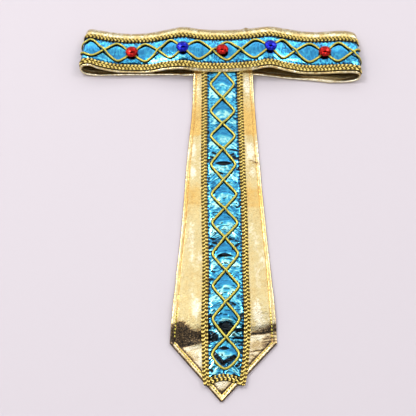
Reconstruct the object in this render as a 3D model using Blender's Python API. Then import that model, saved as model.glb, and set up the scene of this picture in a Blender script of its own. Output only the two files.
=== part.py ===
"""A costume headdress: a closed band with a long panel that hangs from it.

The band is one loop of gold cloth, lying flattened in two layers. Round it run a
strip of blue foil between two braids, and two cords that cross in a lattice.
Five cut stones sit on the front layer. The panel's top goes in under the front
layer's lower hem, and the panel lies on the floor, down to its pointed tip.

X runs to the right, Y away from the tip and Z up. The origin is on the floor,
under the middle of the whole. Sizes are in millimetres until a mesh is made.
"""
import math

import bmesh
import bpy
import numpy as np
from mathutils import Matrix

MM = 0.001
GAP = 0.3

# The band's strip, measured across: v is 0 at its middle and +27 at its top hem.
STRIP_WIDTH = 54.0
ARCH_POWER = 2.2
CLOTH_HALF = 0.7
HEM_HALF = 1.2

# Trims, alike on the band and on the panel
TRIM_BASE = CLOTH_HALF + GAP
BRAID_WIDTH = 6.2
BRAID_HEIGHT = 2.2
BRAID_PRESSED = 1.2
FOIL_TO_BRAID = BRAID_WIDTH / 2.0 + GAP
FOIL_THICKNESS = 0.6
CORD_WIDTH = 2.4
CORD_HEIGHT = 2.0
CORD_PRESSED = 0.9
CORD_BASE = FOIL_THICKNESS + GAP
HUMP_REACH = 7.0
LATTICE_SHARPNESS = 0.07

# Where the trims run on the band's strip
BAND_BRAID_LOW_V = -21.6
BAND_BRAID_TOP_V = 13.2
BAND_FOIL_LOW_V = -18.2
BAND_FOIL_TOP_V = 9.8
BAND_LATTICE_V = -4.3
BAND_LATTICE_SWING = 10.8

# Cut stones
STONE_RADIUS = 6.0
STONE_SIDES = 12
STONE_BASE = TRIM_BASE + CORD_BASE + 2.0 * (CORD_PRESSED + GAP)
PRESS_NEAR = 8.0
PRESS_FAR = 12.0

# The panel
PANEL_HALF = 0.9
PANEL_TRIM_BASE = PANEL_HALF + GAP
PANEL_CORNER_Y = -144.3
PANEL_TIP = (-1.2, -194.5)
PANEL_TIP_HALF_WIDTH = 1.2
PANEL_LATTICE_SWING = 11.4
PANEL_TRIM_TOP_Y = 143.5
PANEL_BRAID_END_Y = -181.5
ARCH_BRAID_Y = -174.1
ARCH_BRAID_DROP = 4.0
TUCK_PRESS_Y = 134.0
VERTEX_RADIUS = 4.0
VERTEX_FADE = (6.0, 22.0)

# Front layer, left to right: the lower edge, the top edge, and how far the middle
# of the strip stands above the straight line between them.
FRONT = [
    # low_x, low_y, low_z, top_x, top_y, top_z, rise
    (-134.4, 143.3, 11.4, -134.3, 194.0, 5.6, 3.6),
    (-122.4, 140.5, 10.4, -121.8, 192.1, 5.4, 4.0),
    (-108.6, 139.0, 7.4, -110.5, 190.7, 4.6, 4.4),
    (-90.7, 138.9, 5.6, -92.9, 189.0, 4.3, 4.5),
    (-70.7, 138.9, 6.0, -72.3, 190.1, 4.6, 4.5),
    (-55.5, 139.3, 9.8, -56.7, 191.3, 7.5, 4.5),
    (-37.4, 138.4, 12.6, -38.1, 192.1, 11.6, 4.5),
    (-20.5, 137.4, 10.2, -20.7, 192.7, 7.5, 4.5),
    (1.5, 136.9, 9.7, 1.9, 193.1, 5.4, 4.8),
    (19.4, 137.8, 10.0, 20.5, 193.0, 6.6, 4.8),
    (34.3, 138.2, 12.0, 35.7, 192.1, 10.2, 4.5),
    (48.1, 139.2, 14.6, 50.0, 191.9, 12.5, 4.5),
    (64.2, 137.5, 11.2, 66.8, 193.0, 7.8, 4.5),
    (79.4, 136.4, 8.0, 82.4, 191.8, 5.4, 4.5),
    (94.5, 136.3, 6.8, 97.9, 191.2, 4.6, 4.5),
    (109.3, 135.7, 8.6, 113.4, 192.1, 4.8, 4.4),
    (122.9, 134.7, 11.0, 127.7, 192.1, 5.6, 4.0),
    (133.3, 134.3, 11.2, 135.3, 190.6, 5.6, 3.6),
]

# Back layer, right to left, with the same columns
BACK = [
    (130.9, 130.8, 1.5, 131.0, 186.0, 1.2, 3.4),
    (115.9, 129.9, 1.3, 115.9, 183.9, 0.95, 3.6),
    (95.4, 131.9, 1.3, 95.4, 186.3, 0.95, 3.6),
    (69.9, 134.4, 1.3, 69.9, 188.8, 0.95, 3.6),
    (35.9, 138.9, 1.3, 35.9, 190.4, 0.95, 3.6),
    (-12.5, 138.1, 1.3, -12.5, 190.0, 0.95, 3.6),
    (-50.2, 138.9, 1.3, -50.2, 189.6, 0.95, 3.6),
    (-82.0, 138.9, 1.3, -82.0, 188.6, 0.95, 3.6),
    (-110.0, 138.6, 1.3, -110.0, 189.9, 0.95, 3.6),
    (-131.0, 139.0, 1.5, -131.0, 191.0, 1.2, 3.4),
]

# How far each fold reaches past the last rows, at its lower and top edges
RIGHT_FOLD_REACH = (7.2, 5.4)
LEFT_FOLD_REACH = (7.4, 3.2)
FOLD_ROWS = 4
FOLD_EASE = 0.6

# X of each crossing of the band's lattice on the front layer, left to right
BAND_CROSSINGS = (-117.9, -90.0, -62.1, -37.8, -7.5, 20.6, 49.8, 74.8, 105.4, 132.8)
HIDDEN_CROSSINGS = 10

# Stones on the band's front layer, left to right
STONES = [
    # name, x
    ("stone_red_left", -89.6),
    ("stone_blue_left", -38.1),
    ("stone_red_middle", 1.8),
    ("stone_blue_right", 50.0),
    ("stone_red_right", 105.6),
]

# The panel from its tucked-in top to its two corners: edges, and the height of
# the middle of its cloth
PANEL = [
    # y, left_x, right_x, z
    (149.0, -26.9, 32.6, 6.6),
    (143.5, -27.0, 32.7, 5.6),
    (137.5, -27.1, 32.7, 4.4),
    (129.0, -27.3, 32.8, 3.5),
    (117.0, -27.8, 32.9, 2.2),
    (104.0, -28.0, 33.7, 1.1),
    (85.2, -29.0, 34.4, 0.9),
    (48.5, -31.9, 35.9, 0.9),
    (4.6, -34.7, 38.3, 0.9),
    (-29.0, -36.6, 40.4, 0.9),
    (-61.4, -39.3, 42.6, 0.9),
    (-76.0, -40.7, 43.6, 1.2),
    (-92.6, -41.8, 44.7, 2.2),
    (-108.0, -43.3, 45.8, 3.2),
    (-122.6, -44.2, 46.6, 2.4),
    (-134.0, -45.0, 46.8, 1.1),
    (-144.3, -45.4, 46.8, 0.9),
]
TIP_ROWS_Y = (-156.0, -168.0, -178.0, -187.0, -192.5, PANEL_TIP[1])

# The stripe down the panel: its middle, and from there to the middle of each side braid
STRIPE = [
    # y, middle_x, braid_x
    (150.0, 1.6, 17.8),
    (85.0, 1.8, 17.9),
    (40.0, 1.9, 18.3),
    (-25.0, 2.8, 18.5),
    (-75.0, 3.2, 18.0),
    (-123.0, 3.1, 18.5),
    (-141.0, 2.9, 18.1),
    (-160.0, 2.2, 17.1),
    (-176.0, 1.5, 15.5),
    (-184.0, 1.2, 13.9),
]

# Y of each crossing of the panel's lattice, top to bottom, and of its last vertex
PANEL_CROSSINGS = (
    140.8, 110.3, 79.6, 50.6, 16.6, -13.9, -43.3, -76.3, -107.2, -138.9, -167.0,
)

GOLD_CLOTH = ("gold_cloth", (0.80, 0.56, 0.20), 1.0, 0.28)
BLUE_FOIL = ("blue_foil", (0.03, 0.40, 0.80), 1.0, 0.22)
GOLD_BRAID = ("gold_braid", (0.62, 0.43, 0.10), 0.8, 0.42)
YELLOW_CORD = ("yellow_cord", (0.80, 0.66, 0.14), 0.6, 0.38)
RED_GLASS = ("red_glass", (0.65, 0.01, 0.01), 0.0, 0.08)
BLUE_GLASS = ("blue_glass", (0.01, 0.03, 0.55), 0.0, 0.08)


def clear_scene():
    for thing in list(bpy.data.objects):
        bpy.data.objects.remove(thing, do_unlink=True)


def material(finish):
    """Return the material of a finish: its name, colour, metallic value and roughness."""
    name, colour, metallic, roughness = finish
    found = bpy.data.materials.get(name)
    if found:
        return found
    made = bpy.data.materials.new(name)
    made.use_nodes = True
    shader = made.node_tree.nodes["Principled BSDF"]
    shader.inputs["Base Color"].default_value = (*colour, 1.0)
    shader.inputs["Metallic"].default_value = metallic
    shader.inputs["Roughness"].default_value = roughness
    made.diffuse_color = (*colour, 1.0)
    return made


def smooth_rows(knots, rows, at):
    """Cubic curve through the rows, whose slope at a knot is that of its neighbours."""
    knots = np.asarray(knots, float)
    rows = np.asarray(rows, float)
    slopes = np.gradient(rows, knots, axis=0)
    at = np.asarray(at, float)
    low = np.clip(np.searchsorted(knots, at, side="right") - 1, 0, len(knots) - 2)
    span = knots[low + 1] - knots[low]
    share = ((at - knots[low]) / span)[..., None]
    span = span[..., None]
    square = share * share
    cube = square * share
    return (
        (2 * cube - 3 * square + 1) * rows[low]
        + (cube - 2 * square + share) * span * slopes[low]
        + (3 * square - 2 * cube) * rows[low + 1]
        + (cube - square) * span * slopes[low + 1]
    )


def fold_rows(first, last, reach):
    """Rows of a fold from one layer's last row to the other's first one.

    Heights follow a half ellipse, and the fold stands out sideways by its reach.
    """
    first = np.array(first)
    last = np.array(last)
    rows = []
    for step in range(1, FOLD_ROWS + 1):
        turn = math.pi * step / (FOLD_ROWS + 1)
        row = first + (last - first) * (1.0 - math.cos(turn)) / 2.0
        row[0] += reach[0] * math.sin(turn)
        row[3] += reach[1] * math.sin(turn)
        rows.append(tuple(row))
    return rows


def mirrored(reach):
    return (-reach[0], -reach[1])


LOOP = (
    FRONT
    + fold_rows(FRONT[-1], BACK[0], RIGHT_FOLD_REACH)
    + BACK
    + fold_rows(BACK[-1], FRONT[0], mirrored(LEFT_FOLD_REACH))
)
LOOP_ROWS = np.array(LOOP)
LOOP_MIDDLES = (LOOP_ROWS[:, 0:3] + LOOP_ROWS[:, 3:6]) / 2.0
LOOP_STEPS = np.linalg.norm(np.roll(LOOP_MIDDLES, -1, axis=0) - LOOP_MIDDLES, axis=1)
LOOP_LENGTH = float(LOOP_STEPS.sum())
LOOP_KNOTS = np.concatenate([[0.0], np.cumsum(LOOP_STEPS)[:-1]])
FRONT_END = float(LOOP_KNOTS[len(FRONT) - 1])
BACK_START = float(LOOP_KNOTS[len(FRONT) + FOLD_ROWS])
BACK_END = float(LOOP_KNOTS[len(FRONT) + FOLD_ROWS + len(BACK) - 1])


def loop_row(u):
    """The loop's row at a distance u round the band, which runs on past its length."""
    wrap = 3
    knots = np.concatenate([
        LOOP_KNOTS[-wrap:] - LOOP_LENGTH, LOOP_KNOTS, LOOP_KNOTS[:wrap] + LOOP_LENGTH,
    ])
    rows = np.concatenate([LOOP_ROWS[-wrap:], LOOP_ROWS, LOOP_ROWS[:wrap]])
    return smooth_rows(knots, rows, np.mod(u, LOOP_LENGTH))


def strip_point(u, v):
    """A point of the band's middle surface, u round the loop and v across the strip."""
    row = loop_row(u)
    share = np.asarray(v)[..., None] / STRIP_WIDTH + 0.5
    point = row[..., 0:3] + (row[..., 3:6] - row[..., 0:3]) * share
    arch = 1.0 - np.abs(2.0 * share[..., 0] - 1.0) ** ARCH_POWER
    point[..., 2] += row[..., 6] * arch
    return point


def unit(vectors):
    return vectors / np.linalg.norm(vectors, axis=-1, keepdims=True)


def band_point(u, v, w):
    """A point at the height w outside the band's middle surface."""
    u, v, w = np.broadcast_arrays(
        np.asarray(u, float), np.asarray(v, float), np.asarray(w, float)
    )
    step = 0.05
    along = strip_point(u + step, v) - strip_point(u - step, v)
    across = strip_point(u, v + step) - strip_point(u, v - step)
    return strip_point(u, v) + unit(np.cross(along, across)) * w[..., None]


def panel_row(y):
    """The panel's edges and height at y: the table, then straight edges to the tip."""
    table = np.array(PANEL)[::-1]
    row = smooth_rows(table[:, 0], table[:, 1:], np.maximum(y, PANEL_CORNER_Y))
    share = np.clip((y - PANEL_CORNER_Y) / (PANEL_TIP[1] - PANEL_CORNER_Y), 0.0, 1.0)
    row[..., 0] += (PANEL_TIP[0] - PANEL_TIP_HALF_WIDTH - row[..., 0]) * share
    row[..., 1] += (PANEL_TIP[0] + PANEL_TIP_HALF_WIDTH - row[..., 1]) * share
    return row


def panel_point(y, x, w):
    """A point at the height w above the middle of the panel's cloth."""
    y, x, w = np.broadcast_arrays(
        np.asarray(y, float), np.asarray(x, float), np.asarray(w, float)
    )
    step = 0.05
    slope = (panel_row(y + step)[..., 2] - panel_row(y - step)[..., 2]) / (2.0 * step)
    length = np.sqrt(1.0 + slope * slope)
    return np.stack([x, y - w * slope / length, panel_row(y)[..., 2] + w / length], axis=-1)


def add_object(name, mesh, finish):
    mesh.materials.append(material(finish))
    thing = bpy.data.objects.new(name, mesh)
    bpy.context.scene.collection.objects.link(thing)
    return thing


def ring_solid(name, rings, closed, finish):
    """A solid skinned over rings of points, joined end to end or capped."""
    rings = np.asarray(rings) * MM
    count, sides = rings.shape[:2]
    shape = bmesh.new()
    grid = [[shape.verts.new(point) for point in ring] for ring in rings]
    for i in range(count if closed else count - 1):
        here = grid[i]
        ahead = grid[(i + 1) % count]
        for j in range(sides):
            k = (j + 1) % sides
            shape.faces.new((here[j], here[k], ahead[k], ahead[j]))
    if not closed:
        shape.faces.new(grid[0])
        shape.faces.new(grid[-1])
    bmesh.ops.triangulate(shape, faces=shape.faces[:])
    bmesh.ops.recalc_face_normals(shape, faces=shape.faces[:])
    mesh = bpy.data.meshes.new(name)
    shape.to_mesh(mesh)
    shape.free()
    return add_object(name, mesh, finish)


def loop_stations():
    """Distances round the band: two to each front row and fold row, one to a back row."""
    stations = []
    for i, knot in enumerate(LOOP_KNOTS):
        stations.append(knot)
        halved = not BACK_START <= knot < BACK_END
        if halved:
            stations.append(knot + LOOP_STEPS[i] / 2.0)
    return np.array(stations)


def hidden_share(u):
    """0 on the front layer, 1 on the hidden back layer, and a slope round each fold."""
    knots = [0.0, FRONT_END, BACK_START, BACK_END, LOOP_LENGTH]
    return np.interp(np.mod(u, LOOP_LENGTH), knots, [0.0, 0.0, 1.0, 1.0, 0.0])


def fold_share(u):
    """1 round either fold, and 0 on both layers away from them."""
    hidden = hidden_share(u)
    return np.clip(4.0 * hidden * (1.0 - hidden) * 2.0, 0.0, 1.0)


def between(start, end, share):
    return start + (end - start) * share


def make_band():
    """The band's cloth: a flat strip with a thicker hem along each edge."""
    section = [
        # v, half thickness
        (-27.0, 0.9),
        (-26.4, HEM_HALF),
        (-25.6, HEM_HALF),
        (-25.1, CLOTH_HALF),
        (BAND_FOIL_LOW_V, CLOTH_HALF),
        (-8.9, CLOTH_HALF),
        (0.5, CLOTH_HALF),
        (BAND_FOIL_TOP_V, CLOTH_HALF),
        (20.5, CLOTH_HALF),
        (21.2, HEM_HALF),
        (26.0, HEM_HALF),
        (27.0, 0.9),
    ]
    v = [row[0] for row in section]
    half = [row[1] for row in section]
    v = np.array(v + v[::-1])
    w = np.array(half + [-value for value in half[::-1]])
    u = loop_stations()[:, None]
    ring_solid("band", band_point(u, v, w), True, GOLD_CLOTH)


def make_band_foil():
    v = np.linspace(BAND_FOIL_LOW_V, BAND_FOIL_TOP_V, 4)
    v = np.concatenate([v, v[::-1]])
    w = np.repeat([TRIM_BASE, TRIM_BASE + FOIL_THICKNESS], 4)
    u = loop_stations()[:, None]
    ring_solid("band_foil", band_point(u, v, w), True, BLUE_FOIL)


def braid_section(height):
    """Points across a braid: its flat base, and its top with both edges eased."""
    half = BRAID_WIDTH / 2.0
    across = np.array([-half, -half, -half + 1.0, half - 1.0, half, half])
    up = np.array([0.0, 0.6, 1.0, 1.0, 0.6, 0.0]) * np.asarray(height)[..., None]
    return across, TRIM_BASE + up


def make_band_braid(name, middle_v):
    u = loop_stations()
    height = between(BRAID_HEIGHT, BRAID_PRESSED, hidden_share(u))
    across, up = braid_section(height)
    ring_solid(name, band_point(u[:, None], middle_v + across, up), True, GOLD_BRAID)


def front_distance(x):
    """Distance round the loop at which the strip's middle stands at x, in front."""
    return np.interp(x, LOOP_MIDDLES[: len(FRONT), 0], LOOP_KNOTS[: len(FRONT)])


def band_crossing_distances():
    """Crossings all round the loop: those in front, then the hidden ones, evenly."""
    front = front_distance(np.array(BAND_CROSSINGS))
    rest = LOOP_LENGTH - (front[-1] - front[0])
    pitch = rest / (HIDDEN_CROSSINGS + 1)
    hidden = front[-1] + pitch * np.arange(1, HIDDEN_CROSSINGS + 1)
    return np.concatenate([front, hidden])


def wave_places(count):
    """Places along a lattice, in half waves, closest together round the crossings."""
    steps = np.array([0.0, 0.08, 0.22, 0.41, 0.59, 0.78, 0.92])
    return np.concatenate([steps + index for index in range(count)])


def hump(distance, height):
    """How high the upper cord stands at a distance from a crossing."""
    near = np.clip(np.abs(distance) / HUMP_REACH, 0.0, 1.0)
    return height * np.cos(near * math.pi / 2.0) ** 2


def lattice_swing(places):
    """A wave with a zero at each whole number, straighter than a sine between its tops."""
    wave = np.sin(math.pi * places) - LATTICE_SHARPNESS * np.sin(3.0 * math.pi * places)
    return wave / (1.0 + LATTICE_SHARPNESS)


def smooth_step(start, end, at):
    share = np.clip((at - start) / (end - start), 0.0, 1.0)
    return share * share * (3.0 - 2.0 * share)


def cord_rings(points, normals, heights, closed):
    """Rings of a cord with a flat base, standing on its path along the normals."""
    if closed:
        ahead = np.roll(points, -1, axis=0) - np.roll(points, 1, axis=0)
    else:
        ahead = np.gradient(points, axis=0)
    side = unit(np.cross(normals, ahead))
    half = CORD_WIDTH / 2.0
    section = [(-half, 0.0), (half, 0.0), (half * 0.85, 0.6), (0.0, 1.0), (-half * 0.85, 0.6)]
    rings = [
        points + side * across + normals * (heights * up)[:, None]
        for across, up in section
    ]
    return np.stack(rings, axis=1)


def make_band_cord(name, side):
    """One cord of the band's lattice: a wave all round the loop, over or under.

    The wave's half turns end at the crossings. Side is -1 for the cord that comes
    down at the first crossing, and +1 for the other.
    """
    crossings = band_crossing_distances()
    count = len(crossings)
    first_gap = crossings[0] + LOOP_LENGTH - crossings[-1]
    table = np.concatenate([
        [crossings[0] - first_gap], crossings, [crossings[0] + LOOP_LENGTH],
        [crossings[1] + LOOP_LENGTH],
    ])
    numbers = np.arange(-1, count + 2)
    places = wave_places(count)
    u = smooth_rows(numbers, table[:, None], places)[:, 0]
    fold_zones = [(FRONT_END, BACK_START), (BACK_END, LOOP_LENGTH)]
    extra = np.concatenate([np.arange(start - 3.0, end + 3.0, 1.4) for start, end in fold_zones])
    extra_places = np.interp(extra, u, places)
    places = np.unique(np.round(np.concatenate([places, extra_places]), 3))
    close = np.diff(np.append(places, places[0] + count)) < 0.03
    places = places[~close]
    u = smooth_rows(numbers, table[:, None], places)[:, 0]

    v = BAND_LATTICE_V + side * BAND_LATTICE_SWING * lattice_swing(places)
    nearest = np.rint(places).astype(int)
    pitch = np.interp(places, numbers[:-1], np.diff(table))
    distance = (places - nearest) * np.hypot(pitch, 2.4 * BAND_LATTICE_SWING)
    first = nearest % count == 0
    over = first if side < 0 else ~first
    pressed = hidden_share(u)
    for _, stone_x in STONES:
        far = np.abs(u - front_distance(stone_x))
        pressed = np.maximum(pressed, 1.0 - smooth_step(PRESS_NEAR, PRESS_FAR, far))
    height = between(CORD_HEIGHT, CORD_PRESSED, pressed)
    base = TRIM_BASE + CORD_BASE + np.where(over, hump(distance, height + 1.6 * GAP), 0.0)
    base = base + FOLD_EASE * fold_share(u)
    points = band_point(u, v, base)
    normals = unit(band_point(u, v, base + 1.0) - points)
    ring_solid(name, cord_rings(points, normals, height, True), True, YELLOW_CORD)


def make_stone(name, x, finish):
    """A cut stone with a flat back, a table, and two rows of facets round it."""
    rows = [
        # radius, height, turn in sides
        (STONE_RADIUS - 0.2, 0.0, 0.0),
        (STONE_RADIUS, 0.9, 0.0),
        (STONE_RADIUS * 0.76, 2.7, 0.5),
        (STONE_RADIUS * 0.45, 3.7, 0.0),
    ]
    sides = np.arange(STONE_SIDES)
    rings = []
    for radius, height, turn in rows:
        angle = 2.0 * math.pi * (sides + turn) / STONE_SIDES
        ring = [radius * np.cos(angle), radius * np.sin(angle), np.full(STONE_SIDES, height)]
        rings.append(np.stack(ring, axis=-1))
    stone = ring_solid(name, rings, False, finish)
    u = float(front_distance(x))
    seat = band_point(u, BAND_LATTICE_V, STONE_BASE)
    up = unit(band_point(u, BAND_LATTICE_V, STONE_BASE + 1.0) - seat)
    right = unit(np.cross(strip_point(u, 1.0) - strip_point(u, -1.0), up))
    ahead = np.cross(up, right)
    turn = Matrix([list(right), list(ahead), list(up)]).transposed().to_4x4()
    stone.matrix_world = Matrix.Translation(seat * MM) @ turn


def panel_rows_y():
    return [row[0] for row in PANEL] + list(TIP_ROWS_Y)


def rows_between(top, end):
    """The panel's own rows between two ends, with both ends added."""
    inner = [y for y in panel_rows_y() if end + 1.0 < y < top - 1.0]
    return np.array([top] + inner + [end])


def make_panel():
    y = np.array(panel_rows_y())[:, None]
    edges = panel_row(y)
    left, right = edges[..., 0], edges[..., 1]
    x = np.concatenate([left, right, right, left], axis=1)
    w = np.array([PANEL_HALF, PANEL_HALF, -PANEL_HALF, -PANEL_HALF])
    ring_solid("panel", panel_point(y, x, w), False, GOLD_CLOTH)


def stripe_row(y):
    """The stripe's middle x, and its distance to each side braid's middle, at y."""
    table = np.array(STRIPE)[::-1]
    return smooth_rows(table[:, 0], table[:, 1:], y)


def foil_x(y, share):
    """X at a share of the foil's half width, -1 and +1 being its edges beside the braids."""
    row = stripe_row(y)
    return row[..., 0] + share * (row[..., 1] - FOIL_TO_BRAID)


def make_panel_foil():
    """The stripe's foil, whose lower end follows the arched braid."""
    share = np.linspace(-1.0, 1.0, 5)
    share = np.concatenate([share, share[::-1]])
    y = rows_between(PANEL_TRIM_TOP_Y, ARCH_BRAID_Y + FOIL_TO_BRAID)
    y = np.repeat(y[:, None], len(share), axis=1)
    y[-1] -= ARCH_BRAID_DROP * share * share
    w = np.repeat([PANEL_TRIM_BASE, PANEL_TRIM_BASE + FOIL_THICKNESS], 5)
    ring_solid("panel_foil", panel_point(y, foil_x(y, share), w), False, BLUE_FOIL)


def make_panel_braid(name, side):
    y = rows_between(PANEL_TRIM_TOP_Y, PANEL_BRAID_END_Y)[:, None]
    across, up = braid_section(BRAID_HEIGHT)
    row = stripe_row(y)
    x = row[..., 0] + side * row[..., 1] + across
    w = up - CLOTH_HALF + PANEL_HALF
    ring_solid(name, panel_point(y, x, w), False, GOLD_BRAID)


def make_panel_arch():
    """The short braid that closes the stripe, arched from one side braid to the other."""
    share = np.linspace(-1.0, 1.0, 9)[:, None]
    across, up = braid_section(BRAID_HEIGHT)
    y = ARCH_BRAID_Y - ARCH_BRAID_DROP * share * share + across
    w = up - CLOTH_HALF + PANEL_HALF
    ring_solid("panel_braid_arch", panel_point(y, foil_x(y, share), w), False, GOLD_BRAID)


def make_panel_cord(name, side):
    """One cord of the panel's lattice, from under the band to the last vertex.

    Side is +1 for the cord that runs to the left below the second crossing, which
    is the lower one wherever the two cross.
    """
    crossings = np.array(PANEL_CROSSINGS)
    numbers = np.arange(len(crossings))
    last = len(crossings) - 1
    end_turn = last - np.array([0.15, 0.05, 0.03, 0.015])
    places = np.sort(np.concatenate([[-0.09], wave_places(last), end_turn]))
    y = smooth_rows(numbers, crossings[:, None], places)[:, 0]
    from_end = y - crossings[-1]
    turned = from_end + VERTEX_RADIUS - np.hypot(from_end, VERTEX_RADIUS)
    y = y - turned * (1.0 - smooth_step(*VERTEX_FADE, from_end))
    x = stripe_row(y)[..., 0] + side * PANEL_LATTICE_SWING * lattice_swing(places)
    nearest = np.rint(places).astype(int)
    pitch = np.interp(places, numbers[:-1] + 0.5, -np.diff(crossings))
    distance = (places - nearest) * np.hypot(pitch, 2.4 * PANEL_LATTICE_SWING)
    pressed = smooth_step(TUCK_PRESS_Y - 8.0, TUCK_PRESS_Y, y)
    height = between(CORD_HEIGHT, CORD_PRESSED, pressed)
    over = (side < 0) & (nearest < last)
    base = PANEL_TRIM_BASE + CORD_BASE + np.where(over, hump(distance, height + 1.6 * GAP), 0.0)
    points = panel_point(y, x, base)
    normals = unit(panel_point(y, x, base + 1.0) - points)
    ring_solid(name, cord_rings(points, normals, height, False), False, YELLOW_CORD)


def main():
    clear_scene()
    make_band()
    make_band_foil()
    make_band_braid("band_braid_low", BAND_BRAID_LOW_V)
    make_band_braid("band_braid_top", BAND_BRAID_TOP_V)
    make_band_cord("band_cord_a", -1.0)
    make_band_cord("band_cord_b", 1.0)
    for name, x in STONES:
        make_stone(name, x, BLUE_GLASS if "blue" in name else RED_GLASS)
    make_panel()
    make_panel_foil()
    make_panel_braid("panel_braid_left", -1.0)
    make_panel_braid("panel_braid_right", 1.0)
    make_panel_arch()
    make_panel_cord("panel_cord_a", 1.0)
    make_panel_cord("panel_cord_b", -1.0)


main()
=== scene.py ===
"""The looks of a costume headdress: a flattened gold band with a long hanging panel.

Every piece is a surface of two parameters, worked out with numpy over the same named
sizes as the solids. Sizes are in millimetres until a mesh is made.
"""

import math

import bpy
import numpy as np
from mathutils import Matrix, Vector


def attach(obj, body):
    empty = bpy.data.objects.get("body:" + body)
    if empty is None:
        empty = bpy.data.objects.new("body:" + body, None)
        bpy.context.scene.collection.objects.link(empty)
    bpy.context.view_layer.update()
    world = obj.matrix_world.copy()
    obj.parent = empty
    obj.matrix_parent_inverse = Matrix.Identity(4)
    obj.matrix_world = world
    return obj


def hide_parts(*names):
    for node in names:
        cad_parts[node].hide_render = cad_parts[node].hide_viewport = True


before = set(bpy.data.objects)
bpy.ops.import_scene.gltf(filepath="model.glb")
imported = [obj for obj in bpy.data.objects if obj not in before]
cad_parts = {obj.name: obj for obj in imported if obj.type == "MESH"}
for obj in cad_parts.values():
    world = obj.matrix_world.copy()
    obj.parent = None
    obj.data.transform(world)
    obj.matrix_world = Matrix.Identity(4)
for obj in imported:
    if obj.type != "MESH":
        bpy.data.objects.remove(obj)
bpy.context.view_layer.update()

MM = 0.001
TAU = 2.0 * math.pi

# The band's strip, measured across: v is 0 at its middle and +27 at its top hem.
STRIP_WIDTH = 54.0
STRIP_HALF = STRIP_WIDTH / 2.0
ARCH_POWER = 2.2
CLOTH_HALF = 0.7
INSIDE_EDGE_V = 26.7
RIM_RADIUS = 1.1
LOW_HEM_V = -24.8
LOW_HEM_RISE = 0.55
TOP_HEM_V = 16.4
TOP_HEM_RISE = 0.95
TOP_HEM_SEAM_X = 25.7
FOIL_SEAT = 0.2
FOIL_GAP = 0.02
FOLD_ROWS = 4
RIGHT_FOLD_REACH = (7.2, 5.4)
LEFT_FOLD_REACH = (7.4, 3.2)

BRAID_WIDTH = 6.2
BAND_BRAID_LOW_V = -21.6
BAND_BRAID_TOP_V = 13.2
BAND_FOIL_LOW_V = -18.7
BAND_FOIL_TOP_V = 10.3
BAND_LATTICE_V = -4.3
BAND_LATTICE_SWING = 10.8
HIDDEN_CROSSINGS = 10
LEFT_FOLD_GAP = 26.0

PANEL_HALF = 0.9
PANEL_CORNER_Y = -144.3
PANEL_TIP = (-1.2, -194.5)
PANEL_TIP_HALF_WIDTH = 1.2
PANEL_LATTICE_SWING = 11.4
PANEL_TRIM_TOP_Y = 143.5
PANEL_BRAID_END_Y = -181.5
ARCH_BRAID_Y = -174.1
ARCH_BRAID_DROP = 4.0
ARCH_START_Y = -150.0
ARCH_HALF_SPAN = 12.6

FRONT = [
    # low_x, low_y, low_z, top_x, top_y, top_z, rise
    (-134.4, 143.3, 11.4, -134.3, 194.0, 5.6, 3.6),
    (-122.4, 140.5, 10.4, -121.8, 192.1, 5.4, 4.0),
    (-108.6, 139.0, 7.4, -110.5, 190.7, 4.6, 4.4),
    (-90.7, 138.9, 5.6, -92.9, 189.0, 4.3, 4.5),
    (-70.7, 138.9, 6.0, -72.3, 190.1, 4.6, 4.5),
    (-55.5, 139.3, 9.8, -56.7, 191.3, 7.5, 4.5),
    (-37.4, 138.4, 12.6, -38.1, 192.1, 11.6, 4.5),
    (-20.5, 137.4, 10.2, -20.7, 192.7, 7.5, 4.5),
    (1.5, 136.9, 9.7, 1.9, 193.1, 5.4, 4.8),
    (19.4, 137.8, 10.0, 20.5, 193.0, 6.6, 4.8),
    (34.3, 138.2, 12.0, 35.7, 192.1, 10.2, 4.5),
    (48.1, 139.2, 14.6, 50.0, 191.9, 12.5, 4.5),
    (64.2, 137.5, 11.2, 66.8, 193.0, 7.8, 4.5),
    (79.4, 136.4, 8.0, 82.4, 191.8, 5.4, 4.5),
    (94.5, 136.3, 6.8, 97.9, 191.2, 4.6, 4.5),
    (109.3, 135.7, 8.6, 113.4, 192.1, 4.8, 4.4),
    (122.9, 134.7, 11.0, 127.7, 192.1, 5.6, 4.0),
    (133.3, 134.3, 11.2, 135.3, 190.6, 5.6, 3.6),
]
BACK = [
    (130.9, 130.8, 1.5, 131.0, 186.0, 1.2, 3.4),
    (115.9, 129.9, 1.3, 115.9, 183.9, 0.95, 3.6),
    (95.4, 131.9, 1.3, 95.4, 186.3, 0.95, 3.6),
    (69.9, 134.4, 1.3, 69.9, 188.8, 0.95, 3.6),
    (35.9, 138.9, 1.3, 35.9, 190.4, 0.95, 3.6),
    (-12.5, 138.1, 1.3, -12.5, 190.0, 0.95, 3.6),
    (-50.2, 138.9, 1.3, -50.2, 189.6, 0.95, 3.6),
    (-82.0, 138.9, 1.3, -82.0, 188.6, 0.95, 3.6),
    (-110.0, 138.6, 1.3, -110.0, 189.9, 0.95, 3.6),
    (-131.0, 139.0, 1.5, -131.0, 191.0, 1.2, 3.4),
]
BAND_CROSSINGS = (-117.9, -90.0, -62.1, -37.8, -7.5, 20.6, 49.8, 74.8, 105.4, 132.8)
STONES = [
    # name, x, v
    ("stone_red_left", -89.6, -4.6),
    ("stone_blue_left", -38.1, -4.6),
    ("stone_red_middle", 1.8, -4.6),
    ("stone_blue_right", 50.0, -4.6),
    ("stone_red_right", 105.6, -4.6),
]

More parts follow.
